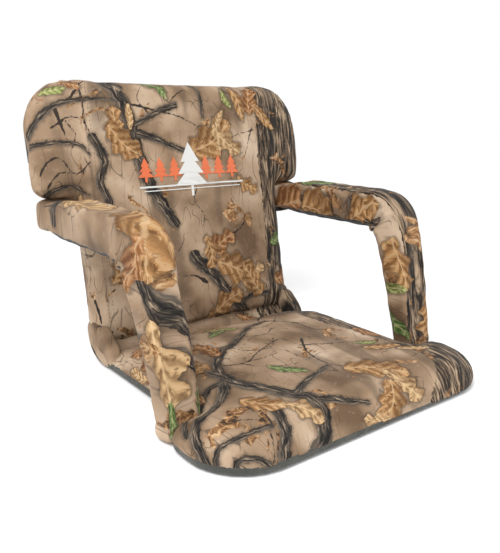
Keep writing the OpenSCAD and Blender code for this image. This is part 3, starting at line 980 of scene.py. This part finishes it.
def inset_outline(outline, inset):
    """The outline moved inward along its normals."""
    run = np.roll(outline, -1, axis=0) - np.roll(outline, 1, axis=0)
    inward = np.column_stack([-run[:, 1], run[:, 0]])
    inward /= np.linalg.norm(inward, axis=1)[:, None]
    return outline + inward * inset


def loft(name, rings):
    """Closed mesh through rings of points."""
    count = len(rings[0])
    faces = [
        (r * count + i, r * count + (i + 1) % count, (r + 1) * count + (i + 1) % count, (r + 1) * count + i)
        for r in range(len(rings) - 1)
        for i in range(count)
    ]
    faces.append(tuple(range(count))[::-1])
    faces.append(tuple(range((len(rings) - 1) * count, len(rings) * count)))
    return mesh_object(name, np.vstack(rings), faces)


def pad_body(name, outline, profile):
    """Remeshed, swollen pad in its own flat frame: x, along, level."""
    rings = []
    for inset, level in profile:
        ring = inset_outline(outline, inset)
        rings.append(np.column_stack([ring, np.full(len(ring), level)]))
    pad = voxel_remesh(loft(name, rings), 5)
    held = points_of(pad)[:, 2] < 10
    return subdivide(puff(pad, held, 6, 4))


def crown(depth, reach):
    """Rise of a stuffed pad from its edge to its flat middle, reach inside the edge."""
    return 5 * (1 - (1 - np.clip(depth / reach, 0, 1)) ** 2)


def over_the_edge(flat, level, outline, top):
    """Place on the cloth: the plan position, carried outward by the drop below the top."""
    depth = inside_distance(flat, outline)
    core_low = [60 - WAIST, outline[:, 1].min() + 90]
    core_high = [WAIST - 60, outline[:, 1].max() - 70]
    outward = flat - np.clip(flat, core_low, core_high)
    length = np.maximum(np.linalg.norm(outward, axis=1), 1)
    drop_by = np.clip(top - level, 0, 60) * smoothstep(60, 5, depth)
    return flat + outward / length[:, None] * drop_by[:, None]


# Cross sections of the pads' edges as (inset from the outline, level)
SEAT_PROFILE = [(7, 0), (1.5, 1.5), (0, 6), (0, 13), (1.5, 20), (6, 28), (14, 35), (28, 40.5), (50, 43)]
BACK_PROFILE = [(15, 0), (9, 1.5), (6, 8), (2, 18), (0, 27), (0.5, 32), (4, 38), (12, 42), (28, 43.5),
                (44, 44)]


def seat_cushion():
    """Seat pad, thinner and gathered at its rear. Returns it with each vertex's place on the cloth."""
    outline = closed_outline(seat_outline())
    pad = pad_body("seat_cushion", outline, SEAT_PROFILE)
    points = points_of(pad)
    x, y, z = points.T
    depth = inside_distance(points[:, :2], outline)
    high = smoothstep(16, 40, z)
    z = z + crown(depth, 110) * high + 0.9 * high * ripple(points[:, :2], 90, 3)
    low_rear = 1 - 0.46 * smoothstep(90, 205, y)
    z = z * (1 + (low_rear - 1) * smoothstep(2, 14, z))
    folds = ripple(np.column_stack([x, y * 0.25]), 22, 17) * smoothstep(165, 200, y) * high
    z = z + 2.8 * folds
    set_points(pad, np.column_stack([x, y, z]))
    flat = over_the_edge(points[:, :2], points[:, 2], outline, PAD)
    return pad, flat


def back_cushion():
    """Back pad with its two seams and its pinched foot. Returns it like seat_cushion."""
    outline = closed_outline(back_outline())
    pad = pad_body("back_cushion", outline, BACK_PROFILE)
    points = points_of(pad)
    x, up, level = points.T
    depth = inside_distance(points[:, :2], outline)
    high = smoothstep(18, 40, level)
    level = level + crown(depth, 100) * high + high * ripple(points[:, :2], 80, 4)
    for seam in SEAMS:
        level = level - 2.6 * high * np.exp(-((x - seam) / 2.0) ** 2) * smoothstep(BACK_LOW, 60, up)
        level = level + 0.7 * high * np.exp(-((np.abs(x - seam) - 7) / 4) ** 2)
    foot = smoothstep(34, -20, up)
    level = level - 9 * foot * high
    level = level + 3.2 * high * foot * ripple(np.column_stack([x, up * 0.25]), 24, 19)
    set_points(pad, on_back(x, up, level))
    flat = over_the_edge(points[:, :2], points[:, 2], outline, PAD) + [0, 22]
    return pad, flat


# ---------- sleeves ----------

# Centre line: height over the elbow, reach behind the arm pivot, lean and bend of the post
ARM_RISE = 18
ROOT_REACH = 42
POST_LEAN = math.radians(15.7)
POST_FOOT_OUT = -24
BEND = 36
# Half thickness along the sleeve, then half width and middle across it
ARM_HALF, ROOT_HALF = 30, 25
POST_HALF_TOP, POST_HALF_FOOT = 31, 24
SLEEVE_HALF_TOP, SLEEVE_HALF_FOOT = 31, 25
SLEEVE_X_TOP, SLEEVE_X_FOOT = 233, 227
SQUARENESS = 4
AROUND = 56
HALF_ROUND = 88
# Where the sleeve is cut, and how flat it folds against the bars inside
ROOT_END = ROOT_REACH + 12
FOOT_LENGTH = 62
ELBOW_GAP = 26


def even_line(rough, step):
    """The same line with a point every step."""
    run = np.concatenate([[0], np.cumsum(np.linalg.norm(np.diff(rough, axis=0), axis=1))])
    at = np.arange(0, run[-1], step)
    return at, np.column_stack([np.interp(at, run, rough[:, i]) for i in range(rough.shape[1])])


def sleeve_path():
    """Centre line of a sleeve in (y, z) from behind the back to the foot of the post.

    Returns distance along, the points, the normals into the bend and the distance of the elbow.
    """
    down = np.array([-math.sin(POST_LEAN), -math.cos(POST_LEAN)])
    foot = np.array([POST[1] + POST_FOOT_OUT, 2.0])
    top = ELBOW[2] + ARM_RISE
    corner = foot - down * (top - foot[1]) / math.cos(POST_LEAN)
    start = np.array([ARM[1] + ROOT_REACH, top - 1])
    turn = math.pi / 2 - POST_LEAN
    reach = BEND * math.tan(turn / 2)
    centre = corner + [reach, -BEND]
    bend = [centre + BEND * np.array([-math.sin(t), math.cos(t)]) for t in np.linspace(0, turn, 10)]
    run_in = [start + (bend[0] - start) * k for k in np.linspace(0, 1, 40, endpoint=False)]
    run_out = [bend[-1] + (foot - bend[-1]) * k for k in np.linspace(0, 1, 36)[1:]]
    at, line = even_line(np.vstack([run_in, bend, run_out]), 4.0)
    tangent = np.gradient(line, axis=0)
    tangent /= np.linalg.norm(tangent, axis=1)[:, None]
    inward = np.column_stack([-tangent[:, 1], tangent[:, 0]])
    elbow_at = float(np.linalg.norm(bend[0] - start) + BEND * turn / 2)
    return at, line, inward, elbow_at


def sleeve_grid(side):
    """One armrest as a single tube. Returns the mesh, distance along, distance round and share round."""
    at, line, inward, elbow_at = sleeve_path()
    sign = SIDES[side]
    lowered = smoothstep(elbow_at + 20, at[-1], at)
    half = ARM_HALF + (ROOT_HALF - ARM_HALF) * smoothstep(110, 20, at)
    half = half + (POST_HALF_FOOT - POST_HALF_TOP) * lowered
    wide = SLEEVE_HALF_TOP + (SLEEVE_HALF_FOOT - SLEEVE_HALF_TOP) * lowered
    middle = SLEEVE_X_TOP + (SLEEVE_X_FOOT - SLEEVE_X_TOP) * lowered
    end = np.minimum(at, at[-1] - at)
    rounded = np.sqrt(np.clip(1 - (1 - np.clip(end / 12, 0, 1)) ** 2, 0, 1)) * 0.3 + 0.7
    half, wide = half * rounded, wide * rounded
    square = 2 / SQUARENESS
    points = []
    for (y, z), normal, depth, width, x_at in zip(line, inward, half, wide, middle):
        for k in range(AROUND):
            turn = 2 * math.pi * k / AROUND
            c, s = math.cos(turn), math.sin(turn)
            out = math.copysign(abs(c) ** square, c) * depth
            side_by = math.copysign(abs(s) ** square, s) * width
            points.append((sign * (x_at + side_by), y - normal[0] * out, z - normal[1] * out))
    rings = len(at)
    faces = []
    for r in range(rings - 1):
        for k in range(AROUND):
            quad = (r * AROUND + k, r * AROUND + (k + 1) % AROUND,
                    (r + 1) * AROUND + (k + 1) % AROUND, (r + 1) * AROUND + k)
            faces.append(quad if sign > 0 else quad[::-1])
    for ring in (0, rings - 1):
        cap = tuple(ring * AROUND + k for k in range(AROUND))
        faces.append(cap if (ring == 0) == (sign < 0) else cap[::-1])
    tube = mesh_object("sleeve_" + side, points, faces)
    along = np.repeat(at, AROUND)
    share = np.tile(np.arange(AROUND) / AROUND, rings)
    return tube, along, share, elbow_at


def sleeve_cloth(side):
    """The swollen, creased and printed sleeve, with distance along, turn round and the elbow's distance."""
    tube, along, share, elbow_at = sleeve_grid(side)
    attribute(tube, "along", along)
    attribute(tube, "turn_c", np.cos(2 * math.pi * share))
    attribute(tube, "turn_s", np.sin(2 * math.pi * share))
    total = along.max()
    held = (along < 6) | (along > total - 6) | (np.cos(2 * math.pi * share) < -0.97)
    subdivide(puff(tube, held, 4, 2.5))

    along, c, s = (field_of(tube, name) for name in ("along", "turn_c", "turn_s"))
    turn = np.arctan2(s, c)
    round_by = turn / math.pi * HALF_ROUND
    flat = np.column_stack([along, round_by])
    points, normals = points_of(tube), normals_of(tube)
    inner = smoothstep(0.3, -0.9, np.cos(turn))
    gather = np.exp(-((along - elbow_at) / 24) ** 2) * inner
    fan = np.sin((along - elbow_at) / 3.6 + 1.5 * np.abs(turn))
    push = -2.2 * gather + 1.7 * gather * fan
    foot = smoothstep(total - 46, total - 10, along)
    push += 1.4 * foot * np.sin((along + round_by * 0.8) / 4.2)
    push += 0.8 * ripple(flat, 46, 31 + SIDES[side])
    for line, depth, width in sleeve_folds(elbow_at):
        away, _, _ = line_field(flat, smooth_line([(*p, 0) for p in line], 4))
        push -= depth * np.exp(-(away / width) ** 2)
    set_points(tube, points + normals * push[:, None])
    sleeve_print(side).paint(tube, flat, flat[:, ::-1])
    return tube, along, turn, elbow_at


def sleeve_pieces(side, camo, black):
    """The sleeve cut where it has to move. Returns its pieces by name, their open ends closed."""
    tube, along, turn, elbow_at = sleeve_cloth(side)
    dress(tube, camo)
    foot_start = along.max() - FOOT_LENGTH
    under = np.cos(turn) < -0.62 + 0.05 * np.sin(along / 9)
    kinds = [
        ("arm_root_", camo, "camo_cloth"),
        ("arm_sleeve_", camo, "camo_cloth"),
        ("arm_underside_cloth_", black, "black_cloth"),
        ("post_sleeve_", camo, "camo_cloth"),
        ("post_rear_cloth_", black, "black_cloth"),
        ("post_foot_", camo, "camo_cloth"),
    ]
    kind = np.select(
        [along < ROOT_END, under & (along < elbow_at - ELBOW_GAP), along < elbow_at,
         along > foot_start, under & (along > elbow_at + ELBOW_GAP)],
        [0, 2, 1, 5, 4], 3)
    pieces = split_faces(tube, kind, [name + side for name, _, _ in kinds])
    made = {}
    for piece, (name, material, slot) in zip(pieces, kinds):
        made[name] = dress(piece, material)
    full_bend = math.pi / 2 - POST_LEAN
    close_end(made["arm_root_"], ROOT_END, run_down(0), camo)
    # The two elbow ends are closed in black cloth: painted shade, standing for the dark deep fold inside the
    # elbow.
    close_end(made["arm_sleeve_"], elbow_at, run_down(full_bend / 2), black)
    close_end(made["post_sleeve_"], elbow_at, -run_down(full_bend / 2), black)
    close_end(made["post_foot_"], foot_start, -run_down(full_bend), camo)
    return made


def armrest(side, camo, black):
    """The armrest and its post as one sewn sleeve, whose pieces ride on the bodies under them."""
    made = sleeve_pieces(side, camo, black)
    settle(made["arm_sleeve_"], "arm_" + side, "arm_cover_" + side, "arm_foam_" + side)
    settle(made["arm_underside_cloth_"], "arm_" + side, "arm_underside_" + side)
    settle(made["post_sleeve_"], "post_" + side, "post_cover_" + side, "post_foam_" + side)
    settle(made["post_rear_cloth_"], "post_" + side, "post_rear_strip_" + side)
    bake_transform(made["arm_root_"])
    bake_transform(made["post_foot_"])
    for name in ("arm_sleeve_", "arm_underside_cloth_"):
        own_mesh(made[name])
    for name in ("post_sleeve_", "post_rear_cloth_"):
        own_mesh(made[name])


def close_end(piece, at, outward, end_cloth):
    """Closes a sleeve's open end with a dome of the given cloth that reaches past the end by a few millimetres."""
    piece.data.materials.append(end_cloth)
    along = field_of(piece, "along")
    mesh = bmesh.new()
    mesh.from_mesh(piece.data)
    rim = [e for e in mesh.edges if e.is_boundary and all(abs(along[v.index] - at) < 8 for v in e.verts)]
    middle = sum((v.co for e in rim for v in e.verts), Vector()) / (2 * len(rim))
    sewn = len(mesh.faces)
    for shrink, push in ((0.86, 4), (0.66, 4), (0.3, 2)):
        made = bmesh.ops.extrude_edge_only(mesh, edges=rim)["geom"]
        rim = [g for g in made if isinstance(g, bmesh.types.BMEdge)]
        for vert in {v for e in rim for v in e.verts}:
            vert.co = middle + (vert.co - middle) * shrink + outward * push * MM
        middle = middle + outward * push * MM
    bmesh.ops.holes_fill(mesh, edges=rim, sides=0)
    mesh.faces.ensure_lookup_table()
    for face in mesh.faces[sewn:]:
        face.material_index = 1
    bmesh.ops.recalc_face_normals(mesh, faces=mesh.faces)
    mesh.to_mesh(piece.data)
    mesh.free()
    smooth(piece)


def run_down(slope):
    """Unit vector forward along a sleeve where it slopes down by this angle."""
    return Vector((0, -math.cos(slope), -math.sin(slope)))


def sleeve_folds(elbow_at):
    """Sharp creases out of the elbow's inside, on both flanks: points along and round, depth, width."""
    folds = [
        ([(-16, 78), (-12, 52), (-20, 24)], 2.6, 3.0),
        ([(2, 80), (4, 50), (12, 22)], 2.2, 3.4),
        ([(-40, 70), (-34, 46), (-50, 20)], 1.8, 4.0),
    ]
    return [
        ([(elbow_at + past, flank * round_by) for past, round_by in line], depth, width)
        for flank in (1, -1)
        for line, depth, width in folds
    ]


# ---------- crease between the pads ----------


def crease_web(camo):
    """Gathered cloth that joins the rear of the seat to the foot of the back."""
    across_count, round_count = 170, 14
    xs = np.linspace(-WAIST + 8, WAIST - 8, across_count)
    path = smooth_line([(188, 15), (200, 14), (209, 15), (216, 22), (224, 34), (232, 50)], 4)
    _, path = even_line(path, np.linalg.norm(np.diff(path, axis=0), axis=1).sum() / round_count)
    round_count = len(path)
    grid = np.array([[(x, y, z) for y, z in path] for x in xs])
    flat = grid[:, :, :2].reshape(-1, 2)
    pucker = ripple(flat * [1, 0.15], 15, 71, 3).reshape(across_count, round_count)
    grid[:, :, 2] += 1.5 * pucker * np.sin(np.linspace(0, math.pi, round_count))
    faces = [
        (i * round_count + j, (i + 1) * round_count + j,
         (i + 1) * round_count + j + 1, i * round_count + j + 1)
        for i in range(across_count - 1)
        for j in range(round_count - 1)
    ]
    web = subdivide(thicken(mesh_object("crease_web", grid.reshape(-1, 3), faces), "cloth"))
    points = points_of(web)
    flat = np.column_stack([points[:, 0], points[:, 1] + points[:, 2]])
    seat_print().paint(web, flat, flat)
    dress(web, camo)
    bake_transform(web)
    return web


def bvh_of(obj):
    """Tree that rays can be cast against."""
    return BVHTree.FromObject(obj, bpy.context.evaluated_depsgraph_get())


def on_front(tree, x, up):
    """Where a line square to the back pad meets its front, in metres, and its starting point in the air."""
    start = Vector(on_back(x, up, PAD + 30) * MM)
    return tree.ray_cast(start, -BACK_FACING, 0.06)[0], start


def side_pad(name, side, edge, sections):
    """Closed pad on the seat's side: an outline in (y, z) at each (distance out, share of its size)."""
    sign = SIDES[side]
    _, edge = even_line(np.vstack([edge, edge[:1]]), 3.0)
    middle = edge.mean(0)
    rings = []
    for x, share in sections:
        ring = middle + (edge - middle) * share
        pucker = 0.4 * ripple(ring, 12, 81)
        rings.append(np.column_stack([sign * (x + pucker), ring]))
    return subdivide(loft(name + side, rings if sign < 0 else [ring[::-1] for ring in rings]))


def hinge_cap(side, camo):
    """Cloth pocket over the folding hinge's plate where it rises out of the rear of the seat."""
    corners = [(170, 8), (172, 26), (181, 39), (196, 52), (208, 60), (221, 60.5), (231, 50), (230, 37),
               (220, 24), (204, 8), (170, 8)]
    edge = smooth_line(corners, 5)[:-1]
    sections = ((181, 0.4), (182, 0.8), (185, 0.97), (190, 1.0), (198, 1.0), (201.5, 0.96),
                (203.5, 0.82), (204.2, 0.4))
    pocket = side_pad("hinge_cap_", side, edge, sections)
    place = points_of(pocket)
    flat = np.column_stack([place[:, 0], place[:, 1] * 0.9 + place[:, 2] * 0.7])
    seat_print().paint(pocket, flat, flat)
    dress(pocket, camo)
    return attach(pocket, "seat")


def hinge_gusset(side, camo):
    """Thin padded wedge on the side of the fold, between the rear of the seat and the foot of the back."""
    corners = [(180, 5), (186, 20), (206, 25), (214, 40), (220, 62), (236, 68), (253, 58), (251, 34),
               (238, 15), (212, 4), (192, 3), (180, 5)]
    edge = smooth_line(corners, 5)[:-1]
    sections = ((190, 0.9), (197, 0.98), (201, 1.0), (203, 0.97), (204.2, 0.86), (204.8, 0.6),
                (205, 0.3))
    wedge = side_pad("hinge_gusset_", side, edge, sections)
    place = points_of(wedge)
    flat = np.column_stack([place[:, 1] * 0.9 - 300, place[:, 2] * 0.9 + 80])
    back_print().paint(wedge, flat, flat[:, ::-1])
    dress(wedge, camo)
    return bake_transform(wedge)


# ---------- stitching ----------


# One stitch: corners as (along, across, out of the cloth), and its faces
STITCH_CORNERS = ((-2.1, 0, -0.3), (-1.2, 0.45, 0.25), (-1.2, -0.45, 0.25), (1.2, 0.45, 0.25),
                  (1.2, -0.45, 0.25), (2.1, 0, -0.3), (0, 0, 0.55))
STITCH_FACES = ((0, 2, 1), (1, 2, 6), (1, 6, 3), (2, 4, 6), (3, 6, 4), (3, 4, 5), (0, 1, 3, 5),
                (0, 5, 4, 2))


def stitch_rows(name, rows, material, body):
    """Short raised threads. Each row is a list of (middle, direction, outward) in millimetres."""
    points, faces = [], []
    for middle, run, out in rows:
        side_way = np.cross(run, out)
        start = len(points)
        for along, wide, high in STITCH_CORNERS:
            points.append(middle + run * along + side_way * wide + out * high)
        faces += [tuple(start + k for k in face) for face in STITCH_FACES]
    obj = mesh_object(name, points, faces)
    dress(obj, material)
    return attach(obj, body)


def back_stitches(surface, material):
    """Double rows along both upright seams of the back pad."""
    tree = bvh_of(surface)
    upward = np.array([0, SIN, COS])
    rows = []
    for seam in SEAMS:
        for offset in (-4, 4):
            for up in np.arange(24, BACK_TOP - 14, STITCH_STEP):
                hit, _ = on_front(tree, seam + offset, up)
                if hit:
                    rows.append((np.array(hit) / MM, upward, np.array(BACK_FACING)))
    return stitch_rows("back_stitching", rows, material, "back")


def border_stitches(name, outline, surface_point, sewn_to, look, material, body):
    """One row of threads all round an outline, laid on the surface that look points at."""
    tree = bvh_of(sewn_to)
    _, line = even_line(np.vstack([outline, outline[:1]]), STITCH_STEP)
    rows = []
    for a, b in zip(line, np.roll(line, -1, axis=0)):
        start = surface_point(a)
        run = surface_point(b) - start
        hit = tree.ray_cast(Vector(start - look * 40) * MM, Vector(look), 0.08)[0]
        if hit and np.linalg.norm(run) > 1:
            rows.append((np.array(hit) / MM, run / np.linalg.norm(run), -look))
    return stitch_rows(name, rows, material, body)


# ---------- badge ----------


def dense(corners):
    """Closed polygon with a point about every 5 mm, so that it can follow the cloth."""
    made = []
    for (x1, y1), (x2, y2) in zip(corners, corners[1:] + corners[:1]):
        steps = max(2, int(math.hypot(x2 - x1, y2 - y1) / 5))
        made += [(x1 + (x2 - x1) * k / steps, y1 + (y2 - y1) * k / steps) for k in range(steps)]
    return made


def fir(x, foot, size):
    """Trunk and three tiers of a plain fir tree."""
    top = foot + size * 0.25
    shapes = [dense([(x - 2, foot), (x + 2, foot), (x + 2, top), (x - 2, top)])]
    for tier in range(3):
        low = foot + size * (0.2 + 0.22 * tier)
        half = size * (0.36 - 0.08 * tier)
        shapes.append(dense([(x - half, low), (x + half, low), (x, low + size * 0.36)]))
    return shapes


def bar(left, right, low, high):
    """Outline of a level bar."""
    return dense([(left, low), (right, low), (right, high), (left, high)])


def sew(name, tree, shapes, lift, material):
    """Flat shapes laid on the front of the back pad as raised thread."""
    points, faces = [], []
    for shape in shapes:
        start = len(points)
        for x, up in smooth_line([(*p, 0) for p in shape], 1)[:, :2]:
            hit, in_air = on_front(tree, x, up)
            points.append(np.array((hit or in_air) + BACK_FACING * lift * MM) / MM)
        faces.append(tuple(range(start, len(points))))
    obj = thicken(mesh_object(name, points, faces), "thread")
    obj.data.polygons.foreach_set("use_smooth", [False] * len(obj.data.polygons))
    dress(obj, material)
    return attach(obj, "back")


def badge(surface, orange, white):
    """Row of plain fir trees over a double bar, sewn on the front of the back pad."""
    tree = bvh_of(surface)
    small = [shape for x in (-86, -58, -30, 34, 62, 90) for shape in fir(x, 242, 40)]
    bars = [bar(-100, 112, 232, 235), bar(-92, 104, 226, 227.6)]
    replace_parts(sew("badge_small_trees", tree, small, 0.9, orange), "back_emblem")
    sew("badge_tall_tree", tree, fir(2, 214, 92), 1.1, white)
    sew("badge_bars", tree, bars, 0.9, white)


# ---------- assembly ----------


def paint_cad():
    """Every CAD node that stays in view gets the finish of its slot."""
    finishes = {
        "coated_tube": metal_material("black_coat", (0.03, 0.03, 0.03), 0.4, 0.0),
        "pressed_steel": metal_material("black_plate", (0.05, 0.05, 0.05), 0.35, 0.2),
        "zinc_fastener": metal_material("zinc", (0.6, 0.6, 0.62), 0.3, 1.0),
        "friction_washer": metal_material("brass", (0.7, 0.52, 0.25), 0.35, 1.0),
        "sling_webbing": plain_cloth("sling_webbing", (0.02, 0.02, 0.02), (0.045, 0.045, 0.045)),
        "foam": foam_material(),
    }
    cloth = plain_cloth("cad_cloth", (0.05, 0.05, 0.045), (0.08, 0.08, 0.07))
    for row in frame["record"]["subparts"]:
        node = frame["nodes"][row["node"]]
        node.data.materials.clear()
        node.data.materials.append(finishes.get(row["material_slot"], cloth))


def hemmed(pad, flat, print_, point, normal, names):
    """Prints a pad and cuts it in two at its hem's plane: the cover on the normal's side, and the rest."""
    attribute(pad, "flat_x", flat[:, 0])
    attribute(pad, "flat_y", flat[:, 1])
    cut(pad, point, normal)
    flat = np.column_stack([field_of(pad, "flat_x"), field_of(pad, "flat_y")])
    print_.paint(pad, flat, flat)
    past_hem = (points_of(pad) - point) @ normal < -0.01
    return split_faces(pad, past_hem, names)


def build_seat(camo, base):
    """Seat pad: printed cover over plain cloth, with a hem that is higher on the left."""
    tilt = (HEM_RIGHT - HEM_LEFT) / (2 * SEAT_HALF)
    middle = (HEM_LEFT + HEM_RIGHT) / 2
    pad, flat = seat_cushion()
    names = ["seat_cushion_cover", "seat_base_cloth"]
    top, rest = hemmed(pad, flat, seat_print(), (0, 0, middle), (-tilt, 0, 1), names)
    low = points_of(rest)
    tuck = smoothstep(0, 2, middle + tilt * low[:, 0] - low[:, 2])
    set_points(rest, low - normals_of(rest) * tuck[:, None])
    dress(top, camo)
    dress(rest, base)
    settle(top, "seat", "seat_cover", "seat_foam")
    settle(rest, "seat", "seat_base_panel")


def build_back(camo, base):
    """Back pad: printed cover in front, plain cloth with a stitched border behind. Returns the cover."""
    hem = on_back(0, 0, BACK_HEM)
    facing = np.array([0, -COS, SIN])
    pad, flat = back_cushion()
    names = ["back_cushion_cover", "back_rear_cloth"]
    top, rest = hemmed(pad, flat, back_print(), hem, facing, names)
    dress(top, camo)
    dress(rest, base)
    settle(top, "back", "back_cover", "back_foam")
    settle(rest, "back", "back_panel")
    pale = plain_cloth("rear_thread", (0.06, 0.06, 0.055), (0.10, 0.10, 0.09))
    border = inset_outline(closed_outline(back_outline()), 26)
    border_stitches("rear_stitching", border, lambda p: on_back(p[0], p[1], 0), rest, facing, pale, "back")
    return top


def light(name, energy, size, place, aim=(0, 0.05, 0.15)):
    """Soft square lamp that shines at the middle of the seat."""
    data = bpy.data.lights.new(name, "AREA")
    data.energy = energy
    data.shape = "SQUARE"
    data.size = size
    obj = bpy.data.objects.new(name, data)
    obj.location = place
    obj.rotation_mode = "QUATERNION"
    obj.rotation_quaternion = (Vector(aim) - Vector(place)).to_track_quat("-Z", "Y")
    bpy.context.scene.collection.objects.link(obj)


def studio():
    """White surroundings, two soft lamps and a pale floor that fades into the surroundings far away."""
    scene = bpy.context.scene
    world = bpy.data.worlds.new("studio")
    world.use_nodes = True
    sky = world.node_tree.nodes["Background"]
    sky.inputs[0].default_value = (1, 1, 1, 1)
    sky.inputs[1].default_value = 1.0
    scene.world = world
    scene.view_settings.view_transform = "Standard"
    light("key", 42, 1.1, (-1.3, -0.7, 1.9))
    light("fill", 6, 1.8, (1.4, -1.8, 1.0))
    reach, rings, around = 12000, 24, 96
    radii = reach * np.linspace(0.02, 1, rings) ** 2
    points = [(0, 0, -0.5)] + [
        (r * math.cos(t), r * math.sin(t), -0.5)
        for r in radii
        for t in np.linspace(0, 2 * math.pi, around, endpoint=False)
    ]
    faces = [(0, 1 + k, 1 + (k + 1) % around) for k in range(around)]
    for i in range(rings - 1):
        low, high = 1 + i * around, 1 + (i + 1) * around
        faces += [
            (low + k, high + k, high + (k + 1) % around, low + (k + 1) % around) for k in range(around)
        ]
    floor = mesh_object("floor", points, faces)
    m = Maker("floor_paint")
    place = m.object_place()
    distance = m.nodes.new("ShaderNodeVectorMath")
    distance.operation = "LENGTH"
    m.feed(distance.inputs[0], place)
    far = m.step(distance.outputs["Value"], 0.5, 1.6)
    tone = m.mix(far, m.mix(m.noise(place, 3.0, 2.0), (0.93, 0.93, 0.93), (0.95, 0.95, 0.95)), (0, 0, 0))
    m.feed(m.shader.inputs["Emission Strength"], far)
    dress(floor, m.set(Base_Color=tone, Roughness=0.9, Specular_IOR_Level=0.0,
                       Emission_Color=(1.0, 1.0, 1.0)))


def camera():
    """Camera at the seat's three-quarter view from above."""
    data = bpy.data.cameras.new("camera")
    data.sensor_fit = "HORIZONTAL"
    data.sensor_width = 36
    data.lens = CAMERA_LENS
    data.clip_start = 0.01
    obj = bpy.data.objects.new("camera", data)
    obj.location = CAMERA_PLACE
    pitch, yaw, roll = (math.radians(angle) for angle in CAMERA_TURN)
    aimed = Euler((math.pi / 2 + pitch, 0, yaw)).to_matrix() @ Matrix.Rotation(roll, 3, "Z")
    obj.rotation_euler = aimed.to_euler()
    bpy.context.scene.collection.objects.link(obj)
    bpy.context.scene.camera = obj


camo = camo_material()
black = plain_cloth("black_cloth", (0.008, 0.008, 0.008), (0.02, 0.02, 0.02))
base_grey = plain_cloth("base_cloth", (0.045, 0.045, 0.038), (0.075, 0.075, 0.064))
paint_cad()
build_seat(camo, base_grey)
back_surface = build_back(camo, black)
crease_web(camo)
for side in SIDES:
    hinge_cap(side, camo)
    hinge_gusset(side, camo)
    armrest(side, camo, black)
back_stitches(back_surface, plain_cloth("seam_thread", (0.10, 0.075, 0.05), (0.17, 0.13, 0.09)))
badge(back_surface, thread_material("orange_thread", (0.86, 0.16, 0.03)),
      thread_material("white_thread", (0.85, 0.85, 0.82)))
studio()
camera()
